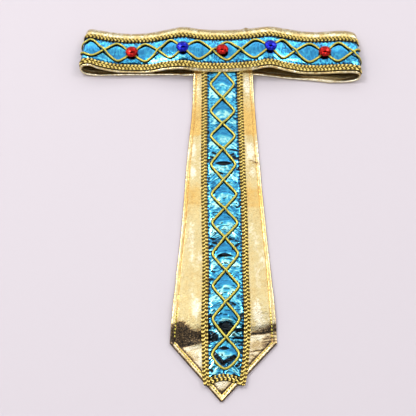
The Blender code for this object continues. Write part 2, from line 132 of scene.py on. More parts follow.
# The panel's own rows, with the soft bend above its tip that the foil and gold mirror
PANEL = [
    # y, left_x, right_x, z
    (149.0, -26.9, 32.6, 7.2),
    (143.5, -27.0, 32.7, 6.6),
    (137.5, -27.1, 32.7, 5.6),
    (129.0, -27.3, 32.8, 4.1),
    (117.0, -27.6, 33.0, 2.4),
    (104.0, -28.0, 33.7, 1.1),
    (99.0, -28.3, 33.9, 0.95),
    (85.2, -29.0, 34.4, 1.3),
    (65.5, -30.6, 35.1, 2.1),
    (48.5, -31.9, 35.9, 1.9),
    (28.0, -33.4, 37.2, 1.5),
    (9.0, -34.4, 38.1, 1.1),
    (-13.0, -35.6, 39.4, 1.6),
    (-29.0, -36.6, 40.4, 1.5),
    (-61.4, -39.3, 42.6, 1.1),
    (-76.0, -40.7, 43.6, 1.4),
    (-92.6, -41.8, 44.7, 2.2),
    (-108.0, -43.3, 45.8, 3.2),
    (-118.0, -43.9, 46.3, 3.5),
    (-124.5, -44.3, 46.6, 3.2),
    (-134.0, -45.0, 46.8, 2.0),
    (-141.5, -45.3, 46.8, 1.1),
    (-144.3, -45.4, 46.8, 0.95),
]
LOWER_ROWS = [
    # y, z
    (-144.3, 0.95),
    (-148.0, 1.15),
    (-156.0, 1.35),
    (-170.0, 1.30),
    (-182.0, 1.30),
    (-194.5, 1.25),
]
STRIPE = [
    # y, middle_x, braid_x
    (150.0, 1.6, 17.8),
    (85.0, 1.8, 17.9),
    (40.0, 1.9, 18.3),
    (-25.0, 2.8, 18.5),
    (-75.0, 3.2, 18.0),
    (-123.0, 3.1, 18.5),
    (-141.0, 2.9, 18.1),
    (-160.0, 2.2, 17.1),
    (-176.0, 1.5, 15.5),
    (-184.0, 1.2, 13.9),
]
PANEL_CROSSINGS = (
    140.8, 110.3, 79.6, 50.6, 16.6, -13.9, -43.3, -76.3, -107.2, -138.9, -167.0,
)

# The stripe's foil: sharp folds as arcs and short dashes, painted black as shade in the folds, then ovals
# of painted shade and of painted highlight
FOIL_ARCS = [
    # x, y, half_length, bow, thickness
    (2.3, 35.2, 8.4, 1.9, 4.4),
    (2.4, -62.4, 7.8, 3.4, 3.4),
    (1.2, -148.6, 4.8, 1.5, 3.2),
]
FOIL_DASHES = [
    # x0, y0, x1, y1, width
    (-7.9, 46.6, -5.6, 45.8, 1.74),
    (-10.2, 42.1, -8.0, 41.2, 1.74),
    (-12.6, 38.3, -10.4, 39.4, 1.59),
    (9.4, 50.1, 14.6, 49.3, 1.59),
    (9.2, 43.8, 11.6, 45.2, 1.74),
    (11.9, 42.3, 13.4, 41.2, 1.89),
    (13.1, 39.9, 16.3, 40.3, 1.74),
    (-3.8, 25.6, 1.4, 23.6, 1.45),
    (15.0, 28.5, 17.0, 29.6, 1.45),
    (-10.9, -43.9, -7.8, -44.7, 1.45),
    (-8.2, -48.5, -5.0, -49.1, 1.59),
    (-11.0, -52.7, -8.7, -52.0, 1.45),
    (5.5, -45.7, 8.6, -44.9, 1.45),
    (12.7, -46.5, 14.9, -47.1, 1.3),
    (9.9, -55.1, 15.8, -49.6, 1.3),
    (-9.6, -77.2, -6.5, -77.8, 1.16),
    (14.0, -12.5, 16.6, -11.5, 1.3),
    (-11.5, -84.0, -8.5, -85.0, 1.16),
    (-7.6, -152.7, 0.3, -161.9, 2.9),
    (0.1, -161.9, 9.8, -156.2, 2.9),
    (-12.4, -121.0, -10.4, -120.0, 2.32),
    (15.5, -121.0, 17.8, -118.5, 2.17),
    (-11.0, -165.5, -9.0, -167.0, 1.89),
    (11.5, -163.5, 14.0, -161.5, 1.74),
    (9.3, -108.5, 11.0, -110.0, 1.16),
]
FOIL_PAINTED_SHADE = [
    # x, y, half_x, half_y, depth
    (1.8, -130.2, 8.8, 5.8, 0.93),
    (-8.4, -138.5, 5.0, 5.6, 0.92),
    (-10.5, -129.0, 2.6, 1.6, 0.8),
    (14.0, -132.4, 5.4, 1.9, 0.92),
    (13.4, -139.3, 5.4, 1.5, 0.93),
    (15.2, -146.0, 2.4, 1.3, 0.85),
    (-9.6, -172.0, 3.6, 2.3, 0.9),
    (11.4, -172.2, 4.2, 2.6, 0.9),
]
FOIL_PAINTED_HIGHLIGHTS = [
    # x, y, half_x, half_y, rise
    (2.2, -112.0, 6.5, 5.0, 0.20),
    (2.0, -145.6, 7.5, 4.6, 0.30),
    (1.6, -154.6, 6.5, 5.0, 0.28),
    (-10.2, -155.0, 3.2, 8.0, 0.22),
    (14.0, -155.0, 3.2, 8.0, 0.22),
    (-8.4, -168.4, 5.4, 3.4, 0.34),
    (10.6, -168.4, 5.4, 3.4, 0.34),
    (-10.4, -116.0, 3.0, 7.0, 0.16),
    (15.4, -113.0, 3.0, 7.0, 0.16),
]

# The gold panel's creases, painted dark as shade, its ovals of painted shade, and the bands across it that
# mirror the dark, darkened further by painted reflection
GOLD_CREASES = [
    # x0, y0, x1, y1, width, depth
    (-38.2, -147.6, -17.5, -142.4, 1.2, 0.72),
    (22.0, -136.0, 46.6, -132.9, 1.45, 0.74),
    (22.5, -151.7, 35.0, -149.8, 0.9, 0.66),
    (41.8, -136.1, 46.4, -135.9, 0.9, 0.60),
    (36.6, -137.5, 40.0, -138.1, 0.6, 0.50),
    (35.6, -139.9, 46.0, -139.4, 0.7, 0.60),
    (34.7, -142.7, 45.0, -142.2, 0.7, 0.60),
    (36.4, -144.8, 39.8, -144.3, 0.6, 0.50),
    (35.4, -147.4, 38.9, -146.1, 0.6, 0.50),
    (-28.5, -150.6, -19.5, -148.2, 0.6, 0.26),
    (-31.0, -152.4, -25.5, -152.0, 0.5, 0.20),
    (24.0, -154.4, 29.5, -156.4, 0.6, 0.32),
    (22.5, -158.2, 28.0, -160.0, 0.7, 0.48),
    (22.8, -163.2, 26.4, -161.4, 0.8, 0.55),
    (26.6, 38.6, 31.0, 37.6, 0.5, 0.45),
    (30.0, 37.4, 35.6, 36.2, 0.7, 0.60),
    (29.6, 34.9, 34.0, 36.6, 0.5, 0.42),
]
GOLD_PAINTED_SHADE = [
    # x, y, half_x, half_y, depth
    (28.5, -145.8, 8.5, 4.4, 0.30),
    (40.0, -141.5, 6.5, 5.2, 0.36),
    (37.5, -146.2, 3.4, 2.6, 0.42),
    (-26.0, -157.5, 6.5, 4.5, 0.16),
    (26.0, -156.5, 5.0, 4.0, 0.18),
]
# Where the painted reflection of the dark lies, on the left and on the right of the gold
LEFT_BAND = [
    # x, top_y, foot_y
    (-46.0, -129.2, -147.5),
    (-42.4, -127.2, -146.0),
    (-40.9, -126.3, -142.4),
    (-38.0, -125.6, -145.6),
    (-35.6, -125.2, -148.2),
    (-30.7, -128.4, -147.2),
    (-26.3, -131.6, -146.0),
    (-22.8, -133.0, -144.6),
    (-17.0, -134.3, -142.3),
]
RIGHT_BAND = [
    # x, top_y, foot_y
    (22.0, -134.9, -136.2),
    (28.9, -133.2, -135.4),
    (34.1, -131.3, -134.5),
    (38.4, -129.5, -134.1),
    (42.0, -127.7, -133.4),
    (47.0, -127.2, -133.1),
]
# Ovals of painted highlight, cream in the panel's gold, over the tones further on
PAINTED_HIGHLIGHT_PATCHES = [
    # x, y, half_x, half_y, rise
    (26.6, 124.0, 4.0, 12.0, 0.50),
    (-22.6, 122.0, 2.6, 11.0, 0.28),
    (-25.5, 52.0, 3.2, 9.0, 0.22),
    (27.6, 50.0, 4.0, 10.0, 0.28),
    (-26.6, 27.0, 3.4, 8.0, 0.26),
    (29.4, 27.0, 4.0, 8.0, 0.24),
    (-23.8, -112.0, 5.0, 13.0, 0.34),
    (30.0, -115.0, 5.0, 13.0, 0.34),
    (-27.0, -149.4, 9.0, 2.4, 0.42),
    (31.0, -137.6, 9.0, 2.2, 0.45),
    (28.4, -153.2, 6.0, 1.8, 0.36),
    (-1.0, -180.4, 7.0, 4.0, 0.34),
]
# Heights of the cloth beside the stripe, where it bends down to the tip
LEFT_BEND = [
    # y, z
    (-84.0, 1.8),
    (-96.0, 2.5),
    (-108.0, 3.3),
    (-120.0, 3.7),
    (-127.0, 3.4),
    (-136.0, 2.4),
    (-144.0, 1.4),
    (-147.5, 1.15),
    (-156.0, 1.3),
    (-176.0, 1.3),
]
RIGHT_BEND = [
    # y, z
    (-84.0, 1.7),
    (-96.0, 2.2),
    (-108.0, 2.6),
    (-120.0, 2.6),
    (-126.0, 2.35),
    (-131.0, 1.75),
    (-135.5, 1.25),
    (-138.5, 1.15),
    (-156.0, 1.3),
    (-176.0, 1.3),
]

BEND_WINDOW = (
    # start_y, full_y, gone_y, last_y
    -86.0, -102.0, -174.0, -160.0,
)
BENDS = [
    # delay, far_x, near_x, start_y, full_y, gone_y, last_y, clear_x, beside_x, heights
    (6.0, -40.0, -20.0, -116.0, -130.0, -147.0, -138.0, -13.0, -22.0, LEFT_BEND),
    (4.0, 44.0, 24.0, -114.0, -128.0, -138.0, -132.0, 15.0, 24.0, RIGHT_BEND),
]

# Smooth curves and the two carrying surfaces


def smooth_rows(knots, rows, at):
    """Cubic curve through the rows, whose slope at a knot is that of its neighbours."""
    knots = np.asarray(knots, float)
    rows = np.asarray(rows, float)
    slopes = np.gradient(rows, knots, axis=0)
    at = np.asarray(at, float)
    low = np.clip(np.searchsorted(knots, at, side="right") - 1, 0, len(knots) - 2)
    span = knots[low + 1] - knots[low]
    share = ((at - knots[low]) / span)[..., None]
    span = span[..., None]
    square = share * share
    cube = square * share
    return (
        (2 * cube - 3 * square + 1) * rows[low]
        + (cube - 2 * square + share) * span * slopes[low]
        + (3 * square - 2 * cube) * rows[low + 1]
        + (cube - square) * span * slopes[low + 1]
    )


def smooth_step(start, end, at):
    """0 before the start and 1 past the end, with a cubic slope between them."""
    share = np.clip((at - start) / (end - start), 0.0, 1.0)
    return share * share * (3.0 - 2.0 * share)


def fold_rows(first, last, reach):
    """Rows round a fold: heights follow a half ellipse, which stands out by its reach."""
    first = np.array(first)
    last = np.array(last)
    rows = []
    for step in range(1, FOLD_ROWS + 1):
        turn = math.pi * step / (FOLD_ROWS + 1)
        row = first + (last - first) * (1.0 - math.cos(turn)) / 2.0
        row[0] += reach[0] * math.sin(turn)
        row[3] += reach[1] * math.sin(turn)
        rows.append(tuple(row))
    return rows


LOOP_ROWS = np.array(
    FRONT
    + fold_rows(FRONT[-1], BACK[0], RIGHT_FOLD_REACH)
    + BACK
    + fold_rows(BACK[-1], FRONT[0], (-LEFT_FOLD_REACH[0], -LEFT_FOLD_REACH[1]))
)
LOOP_MIDDLES = (LOOP_ROWS[:, 0:3] + LOOP_ROWS[:, 3:6]) / 2.0
LOOP_STEPS = np.linalg.norm(np.roll(LOOP_MIDDLES, -1, axis=0) - LOOP_MIDDLES, axis=1)
LOOP_LENGTH = float(LOOP_STEPS.sum())
LOOP_KNOTS = np.concatenate([[0.0], np.cumsum(LOOP_STEPS)[:-1]])
FRONT_END = float(LOOP_KNOTS[len(FRONT) - 1])
BACK_START = float(LOOP_KNOTS[len(FRONT) + FOLD_ROWS])
BACK_END = float(LOOP_KNOTS[len(FRONT) + FOLD_ROWS + len(BACK) - 1])
CORNER_START_V = 4.0
CORNERS = [
    # middle of the fold, how far its top corner is drawn in, and over what length
    ((FRONT_END + BACK_START) / 2.0, 6.5, 4.4),
    ((BACK_END + LOOP_LENGTH) / 2.0, 4.0, 4.6),
]


def loop_row(u):
    """The loop's row at a distance u round the band, which runs on past its length."""
    wrap = 3
    knots = np.concatenate([
        LOOP_KNOTS[-wrap:] - LOOP_LENGTH, LOOP_KNOTS, LOOP_KNOTS[:wrap] + LOOP_LENGTH,
    ])
    rows = np.concatenate([LOOP_ROWS[-wrap:], LOOP_ROWS, LOOP_ROWS[:wrap]])
    return smooth_rows(knots, rows, np.mod(u, LOOP_LENGTH))


def strip_point(u, v):
    """Straight lines from the low edge to the top edge, plus an arch of the row's rise.

    At each fold the top corner is drawn in by a bell curve of the distance round.
    """
    row = loop_row(u)
    share = np.asarray(v)[..., None] / STRIP_WIDTH + 0.5
    point = row[..., 0:3] + (row[..., 3:6] - row[..., 0:3]) * share
    arch = 1.0 - np.abs(2.0 * share[..., 0] - 1.0) ** ARCH_POWER
    point[..., 2] += row[..., 6] * arch
    for middle, drop, reach in CORNERS:
        away = np.mod(u - middle + LOOP_LENGTH / 2.0, LOOP_LENGTH) - LOOP_LENGTH / 2.0
        point[..., 1] -= drop * np.exp(-((away / reach) ** 2)) * smooth_step(CORNER_START_V, STRIP_HALF, v)
    return point


def unit(vectors):
    """The vectors at a length of 1."""
    return vectors / np.maximum(np.linalg.norm(vectors, axis=-1, keepdims=True), 1e-12)


def spread(*values):
    """The values as arrays of one common shape."""
    return np.broadcast_arrays(*[np.asarray(value, float) for value in values])


def band_point(u, v, w):
    """A point at the height w outside the band's middle surface."""
    u, v, w = spread(u, v, w)
    step = 0.05
    along = strip_point(u + step, v) - strip_point(u - step, v)
    across = strip_point(u, v + step) - strip_point(u, v - step)
    return strip_point(u, v) + unit(np.cross(along, across)) * w[..., None]


def panel_row(y):
    """The panel's edges and height at y: the table, then straight edges to the tip."""
    table = np.array(PANEL)[::-1]
    row = smooth_rows(table[:, 0], table[:, 1:], np.maximum(y, PANEL_CORNER_Y))
    share = np.clip((y - PANEL_CORNER_Y) / (PANEL_TIP[1] - PANEL_CORNER_Y), 0.0, 1.0)
    row[..., 0] += (PANEL_TIP[0] - PANEL_TIP_HALF_WIDTH - row[..., 0]) * share
    row[..., 1] += (PANEL_TIP[0] + PANEL_TIP_HALF_WIDTH - row[..., 1]) * share
    lower = np.array(LOWER_ROWS)[::-1]
    below = smooth_rows(lower[:, 0], lower[:, 1:], np.minimum(y, PANEL_CORNER_Y))[..., 0]
    row[..., 2] = np.where(y < PANEL_CORNER_Y, below, row[..., 2])
    return row


def bend_height(y, rows):
    """Height at y on a smooth curve through a bend's own rows, level past its ends."""
    table = np.array(rows)[::-1]
    return smooth_rows(table[:, 0], table[:, 1:], np.clip(y, rows[-1][0], rows[0][0]))[..., 0]


def panel_height(y, x):
    """The cloth's height: its row's, or beside the stripe that of the bend to its side.

    A bend begins later near the stripe than at the panel's edge, by its own delay.
    """
    start_y, full_y, gone_y, last_y = BEND_WINDOW
    window = smooth_step(start_y, full_y, y) * smooth_step(gone_y, last_y, y)
    height = panel_row(y)[..., 2]
    for delay, far_x, near_x, start_y, full_y, gone_y, last_y, clear_x, beside_x, rows in BENDS:
        late = delay * smooth_step(far_x, near_x, x) * smooth_step(start_y, full_y, y)
        late = late * smooth_step(gone_y, last_y, y)
        beside = smooth_step(clear_x, beside_x, x)
        height = height + beside * window * (bend_height(y + late, rows) - height)
    return height


def panel_point(y, x, w):
    """A point at the height w above the middle of the panel's cloth."""
    y, x, w = spread(y, x, w)
    step = 0.05
    slope = (panel_height(y + step, x) - panel_height(y - step, x)) / (2.0 * step)
    length = np.sqrt(1.0 + slope * slope)
    return np.stack([x, y - w * slope / length, panel_height(y, x) + w / length], axis=-1)


def stripe_row(y):
    """The stripe's middle x, and its distance to each side braid's middle, at y."""
    table = np.array(STRIPE)[::-1]
    return smooth_rows(table[:, 0], table[:, 1:], y)


def noise(x, y, seed, cells=256):
    """Smooth noise from -1 to 1 on a wrapped grid of unit cells."""
    table = np.random.default_rng(seed).uniform(-1.0, 1.0, (cells, cells))
    x, y = spread(x, y)
    left = np.floor(x).astype(int)
    low = np.floor(y).astype(int)
    fx = x - left
    fy = y - low
    fx = fx * fx * (3.0 - 2.0 * fx)
    fy = fy * fy * (3.0 - 2.0 * fy)
    a = table[left % cells, low % cells]
    b = table[(left + 1) % cells, low % cells]
    c = table[left % cells, (low + 1) % cells]
    d = table[(left + 1) % cells, (low + 1) % cells]
    return a + (b - a) * fx + (c - a) * fy + (a - b - c + d) * fx * fy


def ridged(x, y, seed):
    """Noise folded over at zero, so that it has sharp ridges between round valleys."""
    return 1.0 - 2.0 * np.abs(noise(x, y, seed)) ** 0.6


def segment_distance(x, y, x0, y0, x1, y1):
    """Distance from each point to a straight segment, and the share along it."""
    dx, dy = x1 - x0, y1 - y0
    share = np.clip(((x - x0) * dx + (y - y0) * dy) / (dx * dx + dy * dy), 0.0, 1.0)
    return np.hypot(x - x0 - share * dx, y - y0 - share * dy), share


def oval_distance(x, y, middle_x, middle_y, half_x, half_y):
    """0 at an oval's middle and 1 on its rim."""
    return np.hypot((x - middle_x) / half_x, (y - middle_y) / half_y)


def patches(x, y, rows, seed):
    """A factor of painted shade: 1 outside a table of soft ragged ovals, less their depth inside them."""
    shade = np.ones(np.broadcast(x, y).shape)
    ragged = 0.22 * noise(x / 1.9, y / 1.3, seed) + 0.10 * noise(x / 0.8, y / 0.7, seed + 1)
    for middle_x, middle_y, half_x, half_y, depth in rows:
        far = oval_distance(x, y, middle_x, middle_y, half_x, half_y) + ragged
        shade = shade * (1.0 - depth * (1.0 - smooth_step(0.72, 1.08, far)))
    return shade


def painted_dark_band(x, y, rows, depth, seed):
    """A factor of painted reflection of the dark: 1 outside a band of the gold and less its depth inside,
    ragged above and sharp below.
    """
    table = np.array(rows)
    top = np.interp(x, table[:, 0], table[:, 1])
    foot = np.interp(x, table[:, 0], table[:, 2])
    ragged = 1.5 * noise(x / 1.1, y / 0.9, seed) + 1.3 * noise(x / 3.0, y / 2.0, seed + 1)
    inside = smooth_step(-1.8, 1.4, top - y + ragged) * smooth_step(-0.4, 0.3, y - foot)
    beside = smooth_step(10.0, 14.0, x * np.sign(table[0, 0] + table[-1, 0]))
    return 1.0 - depth * inside * beside


# Meshes


def signed_volume(points, group):
    """Six times the volume of the cones from the origin to each face's triangles."""
    total = 0.0
    first = points[group[:, 0]]
    for k in range(1, group.shape[1] - 1):
        total += np.einsum("ij,ij->", first, np.cross(points[group[:, k]], points[group[:, k + 1]]))
    return total


def outward(points, groups):
    """The groups of faces, all turned over where they enclose a negative volume."""
    centred = points - points.mean(axis=0)
    if sum(signed_volume(centred, group) for group in groups) < 0.0:
        return [group[:, ::-1] for group in groups]
    return groups


def build_mesh(name, points, groups, finish, uv, shade=None, smooth=True, tone=None):
    """A piece from points in millimetres and groups of faces with equal side counts."""
    loops = np.concatenate([group.ravel() for group in groups]).astype(np.int32)
    totals = np.concatenate([np.full(len(group), group.shape[1]) for group in groups]).astype(np.int32)
    starts = np.concatenate([[0], np.cumsum(totals)[:-1]]).astype(np.int32)
    mesh = bpy.data.meshes.new(name)
    mesh.vertices.add(len(points))
    mesh.vertices.foreach_set("co", (np.asarray(points, float) * MM).ravel())
    mesh.loops.add(len(loops))
    mesh.loops.foreach_set("vertex_index", loops)
    mesh.polygons.add(len(totals))
    mesh.polygons.foreach_set("loop_start", starts)
    mesh.polygons.foreach_set("loop_total", totals)
    mesh.polygons.foreach_set("use_smooth", np.full(len(totals), smooth))
    layer = mesh.uv_layers.new(name="UVMap")
    layer.data.foreach_set("uv", np.asarray(uv, float)[loops].ravel())
    for label, given in (("shade", shade), ("tone", tone)):
        values = np.ones(len(points)) if given is None else np.asarray(given, float).ravel()
        mesh.attributes.new(label, "FLOAT", "POINT").data.foreach_set("value", np.clip(values, 0.0, 1.0))
    mesh.update(calc_edges=True)
    mesh.validate()
    mesh.materials.append(finish)
    piece = bpy.data.objects.new(name, mesh)
    bpy.context.scene.collection.objects.link(piece)
    return piece


def grid_faces(rows, columns, close_rows, start=0):
    """Quads of a grid of points, closed round its columns and, if asked, its rows."""
    i = np.arange(rows if close_rows else rows - 1)[:, None]
    j = np.arange(columns)[None, :]
    ahead = (i + 1) % rows
    beside = (j + 1) % columns
    quads = np.stack([
        i * columns + j, i * columns + beside, ahead * columns + beside, ahead * columns + j,
    ], axis=-1)
    return quads.reshape(-1, 4) + start


def ring_groups(rows, columns, close_rows, start=0):
    """Faces of rings joined end to end, or capped by one face at each end."""
    groups = [grid_faces(rows, columns, close_rows, start)]
    if not close_rows:
        j = np.arange(columns)[None, :] + start
        groups.append(j[:, ::-1])
        groups.append(j + (rows - 1) * columns)
    return groups


def rings_piece(name, tubes, finish, close):
    """One piece from several tubes, each given as its rings and their shade."""
    points, groups, uvs, shades = [], [], [], []
    start = 0
    for rings, shade in tubes:
        rows, sides = rings.shape[:2]
        middles = rings.mean(axis=1)
        length = np.concatenate([[0.0], np.cumsum(np.linalg.norm(np.diff(middles, axis=0), axis=1))])
        uv = np.stack(np.broadcast_arrays(length[:, None] * MM, np.arange(sides)[None, :] / sides), axis=-1)
        flat = rings.reshape(-1, 3)
        own = outward(flat, ring_groups(rows, sides, close))
        groups.extend(group + start for group in own)
        points.append(flat)
        uvs.append(uv.reshape(-1, 2))
        shades.append(np.broadcast_to(shade, (rows, sides)).ravel())
        start += len(flat)
    return build_mesh(
        name, np.concatenate(points), groups, finish, np.concatenate(uvs), np.concatenate(shades),
    )


def ride(piece, slot, *nodes):
    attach(piece, "root")
    if nodes:
        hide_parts(*nodes)
    return piece


def tube_points(path, normals, half_side, half_up, sides, twist=0.0, lobes=0, depth=0.0, close=False):
    """Rings round a path: an ellipse of side and up radii, with twisted lobes on it."""
    if close:
        ahead = np.roll(path, -1, axis=0) - np.roll(path, 1, axis=0)
    else:
        ahead = np.gradient(path, axis=0)
    side = unit(np.cross(normals, ahead))
    up = unit(np.cross(ahead, side))
    angle = TAU * np.arange(sides) / sides
    lobe = 1.0 + depth * np.cos(lobes * angle[None, :] - np.atleast_1d(twist)[:, None])
    across = np.cos(angle)[None, :] * lobe * np.broadcast_to(half_side, len(path))[:, None]
    height = np.sin(angle)[None, :] * lobe * np.broadcast_to(half_up, len(path))[:, None]
    rings = path[:, None] + side[:, None] * across[..., None] + up[:, None] * height[..., None]
    return rings, lobe, np.sin(angle)[None, :]


# Finishes


class Nodes:
    """Short ways to add and join a material's nodes."""

    def __init__(self, tree):
        self.tree = tree

    def add(self, kind, **values):
        node = self.tree.nodes.new(kind)
        for key, value in values.items():
            if key in node.inputs:
                node.inputs[key].default_value = value
            else:
                setattr(node, key, value)
        return node

    def join(self, source, target):
        self.tree.links.new(source, target)

    def math(self, operation, *terms):
        """A sum of the given kind, whose terms are outputs of other nodes or numbers."""
        node = self.add("ShaderNodeMath", operation=operation)
        for socket, term in zip(node.inputs, terms):
            if isinstance(term, float):
                socket.default_value = term
            else:
                self.join(term, socket)
        return node.outputs[0]


def new_material(name, colour, metallic, roughness):
    """A material with its node helper and its shader, whose main values are set."""
    made = bpy.data.materials.new(name)
    made.use_nodes = True
    shader = made.node_tree.nodes["Principled BSDF"]
    shader.inputs["Base Color"].default_value = (*colour, 1.0)
    shader.inputs["Metallic"].default_value = metallic
    shader.inputs["Roughness"].default_value = roughness
    return made, Nodes(made.node_tree), shader


def colour_ramp(n, source, stops):
    """The colour at each place of a source, blended between the stops."""
    ramp = n.add("ShaderNodeValToRGB")
    while len(ramp.color_ramp.elements) < len(stops):
        ramp.color_ramp.elements.new(0.5)
    for element, (place, colour) in zip(ramp.color_ramp.elements, stops):
        element.position = place
        element.color = (*colour, 1.0)
    n.join(source, ramp.inputs["Fac"])
    return ramp.outputs["Color"]


def attribute_ramp(n, label, stops):
    """A colour ramp over one of the piece's own attributes."""
    marks = n.add("ShaderNodeAttribute", attribute_name=label)
    return colour_ramp(n, marks.outputs["Fac"], stops)


def noise_bump(n, shader, layers, coordinate):
    """Bumps chained on the shader's normal: each of scale, detail, strength, distance."""
    last = None
    for scale, detail, strength, distance in layers:
        texture = n.add("ShaderNodeTexNoise", Scale=scale, Detail=detail)
        n.join(coordinate, texture.inputs["Vector"])
        bump = n.add("ShaderNodeBump", Strength=strength, Distance=distance)
        n.join(texture.outputs["Fac"], bump.inputs["Height"])
        if last:
            n.join(last.outputs["Normal"], bump.inputs["Normal"])
        last = bump
    n.join(last.outputs["Normal"], shader.inputs["Normal"])


def gold_cloth():
    """Gold cloth whose tone runs from peach over pale gold to cream, times its shade. On the panel the tone
    is a painted reflection, cream where the gold mirrors bright light and peach where it mirrors the dimmer
    room, and the shade carries painted shade and painted highlights.

    A fine speckle moves the shade, most of all where it is dark.
    """
    made, n, shader = new_material("gold_cloth", (0.72, 0.55, 0.24), 1.0, 0.24)
    shader.inputs["Coat Weight"].default_value = 0.6
    shader.inputs["Coat Roughness"].default_value = 0.3
    place = n.add("ShaderNodeTexCoord")
    tone = attribute_ramp(n, "tone", [
        (0.0, (0.77, 0.50, 0.14)),
        (0.75, (0.74, 0.62, 0.32)),
        (1.0, (0.98, 0.91, 0.70)),
    ])
    marks = n.add("ShaderNodeAttribute", attribute_name="shade")
    grain = n.add("ShaderNodeTexNoise", Scale=1000.0, Detail=2.0)
    n.join(place.outputs["Object"], grain.inputs["Vector"])
    centred = n.math("SUBTRACT", grain.outputs["Fac"], 0.5)
    weight = n.math("MULTIPLY_ADD", marks.outputs["Fac"], -1.7, 2.2)
    speckle = n.math("MULTIPLY_ADD", centred, weight, marks.outputs["Fac"])
    shade = colour_ramp(n, speckle, [
        (0.0, (0.012, 0.007, 0.003)),
        (0.2, (0.12, 0.078, 0.045)),
        (0.45, (0.36, 0.26, 0.18)),
        (0.75, (0.78, 0.66, 0.50)),
        (1.0, (1.0, 1.0, 1.0)),
    ])
    product = n.add("ShaderNodeVectorMath", operation="MULTIPLY")
    n.join(tone, product.inputs[0])
    n.join(shade, product.inputs[1])
    n.join(product.outputs["Vector"], shader.inputs["Base Color"])
    noise_bump(n, shader, [
        (800.0, 2.0, 0.45, 0.0003),
        (240.0, 3.0, 0.20, 0.0008),
    ], place.outputs["Object"])
    return made


def blue_foil():
    """Foil whose painted shade runs from black in its folds over azure to pale cyan on its ridges, a
    painted highlight.
    """
    made, n, shader = new_material("blue_foil", (0.016, 0.21, 0.56), 1.0, 0.14)
    shader.inputs["Coat Weight"].default_value = 0.45
    shader.inputs["Coat Roughness"].default_value = 0.12
    place = n.add("ShaderNodeTexCoord")
    colour = attribute_ramp(n, "shade", [
        (0.0, (0.0, 0.002, 0.004)),
        (0.2, (0.002, 0.020, 0.034)),
        (0.5, (0.022, 0.265, 0.55)),
        (0.72, (0.085, 0.55, 0.75)),
        (1.0, (0.50, 0.95, 0.90)),
    ])
    n.join(colour, shader.inputs["Base Color"])
    noise_bump(n, shader, [
        (700.0, 2.0, 0.15, 0.0003),
    ], place.outputs["Object"])
    return made


def gold_braid():
    """Braid whose painted shade runs from near black in its gaps over old gold to bright gold, a painted
    highlight, on the tops of its strands.
    """
    made, n, shader = new_material("gold_braid", (0.5, 0.35, 0.07), 0.6, 0.36)
    colour = attribute_ramp(n, "shade", [
        (0.25, (0.014, 0.006, 0.001)),
        (0.50, (0.12, 0.066, 0.005)),
        (0.70, (0.40, 0.265, 0.032)),
        (1.0, (1.0, 0.79, 0.24)),
    ])
    n.join(colour, shader.inputs["Base Color"])
    return made


def yellow_cord():
    """Cord whose painted shade runs from dark olive in its grooves and at its sides over gold to yellow, a
    painted highlight, on its top.
    """
    made, n, shader = new_material("yellow_cord", (0.6, 0.48, 0.10), 0.7, 0.34)
    colour = attribute_ramp(n, "shade", [
        (0.15, (0.022, 0.028, 0.003)),
        (0.5, (0.22, 0.185, 0.022)),
        (0.95, (0.66, 0.57, 0.10)),
    ])
    n.join(colour, shader.inputs["Base Color"])
    return made


def stone_finish(name, colour):
    """A stone's colour over a mirror backing, under a thin clear coat."""
    made, _, shader = new_material(name, colour, 1.0, 0.10)
    shader.inputs["Coat Weight"].default_value = 0.3
    shader.inputs["Coat Roughness"].default_value = 0.03
    return made


# Lattice


def lattice_swing(places, k):
    """A wave with a zero at each whole number, nearly straight between rounded corners."""
    return np.arcsin(k * np.sin(math.pi * places)) / math.asin(k)


def front_distance(x):
    """Distance round the loop at which the strip's middle stands at x, in front."""
    return np.interp(x, LOOP_MIDDLES[: len(FRONT), 0], LOOP_KNOTS[: len(FRONT)])


def band_crossing_table():
    """Numbers and distances of the crossings all round, with one more at each end."""
    front = front_distance(np.array(BAND_CROSSINGS))
    pitch = (LOOP_LENGTH - (front[-1] - front[0]) - LEFT_FOLD_GAP) / HIDDEN_CROSSINGS
    hidden = front[-1] + pitch * np.arange(1, HIDDEN_CROSSINGS + 1)
    around = np.concatenate([front, hidden])
    table = np.concatenate([
        [around[-1] - LOOP_LENGTH], around, around[:2] + LOOP_LENGTH,
    ])
    return np.arange(-1, len(around) + 2), table


CROSSING_NUMBERS, CROSSING_TABLE = band_crossing_table()
CROSSING_COUNT = len(CROSSING_NUMBERS) - 3
BAND_SHARPNESS = 0.90
PANEL_SHARPNESS = 0.975


def hidden_share(u):
    """0 on the front layer, 1 on the hidden back layer, and a slope round each fold."""
    knots = [0.0, FRONT_END, BACK_START, BACK_END, LOOP_LENGTH]
    return np.interp(np.mod(u, LOOP_LENGTH), knots, [0.0, 0.0, 1.0, 1.0, 0.0])


PAST_FOLD = 6.0


def loop_stations(front_step, back_step):
    """Distances round the band, close together in front and further apart behind.

    The last one stays clear of the first, which closes the loop.
    """
    turn = BACK_START + PAST_FOLD
    end = LOOP_LENGTH - 0.3 * front_step
    return np.concatenate([np.arange(0.0, turn, front_step), np.arange(turn, end, back_step)])


# Pieces of the band


HEM_DROP = np.array([0.0, 0.9, -1.7])
PANEL_JOIN = (
    # clear_x and sewn_x at the left, then at the right
    -36.0, -27.0, 42.0, 33.0,
)
DROP_START_V = -22.0
DROP_END_V = -26.5


def hem_over_panel(u):
    """1 where the front's low hem is sewn down on the panel, 0 beside it."""
    x = np.interp(np.mod(u, LOOP_LENGTH), LOOP_KNOTS[: len(FRONT)], LOOP_MIDDLES[: len(FRONT), 0])
    left_clear, left_sewn, right_clear, right_sewn = PANEL_JOIN
    across = smooth_step(left_clear, left_sewn, x) * smooth_step(right_clear, right_sewn, x)
    in_front = np.mod(u, LOOP_LENGTH) < FRONT_END
    return (across * in_front)[..., None]


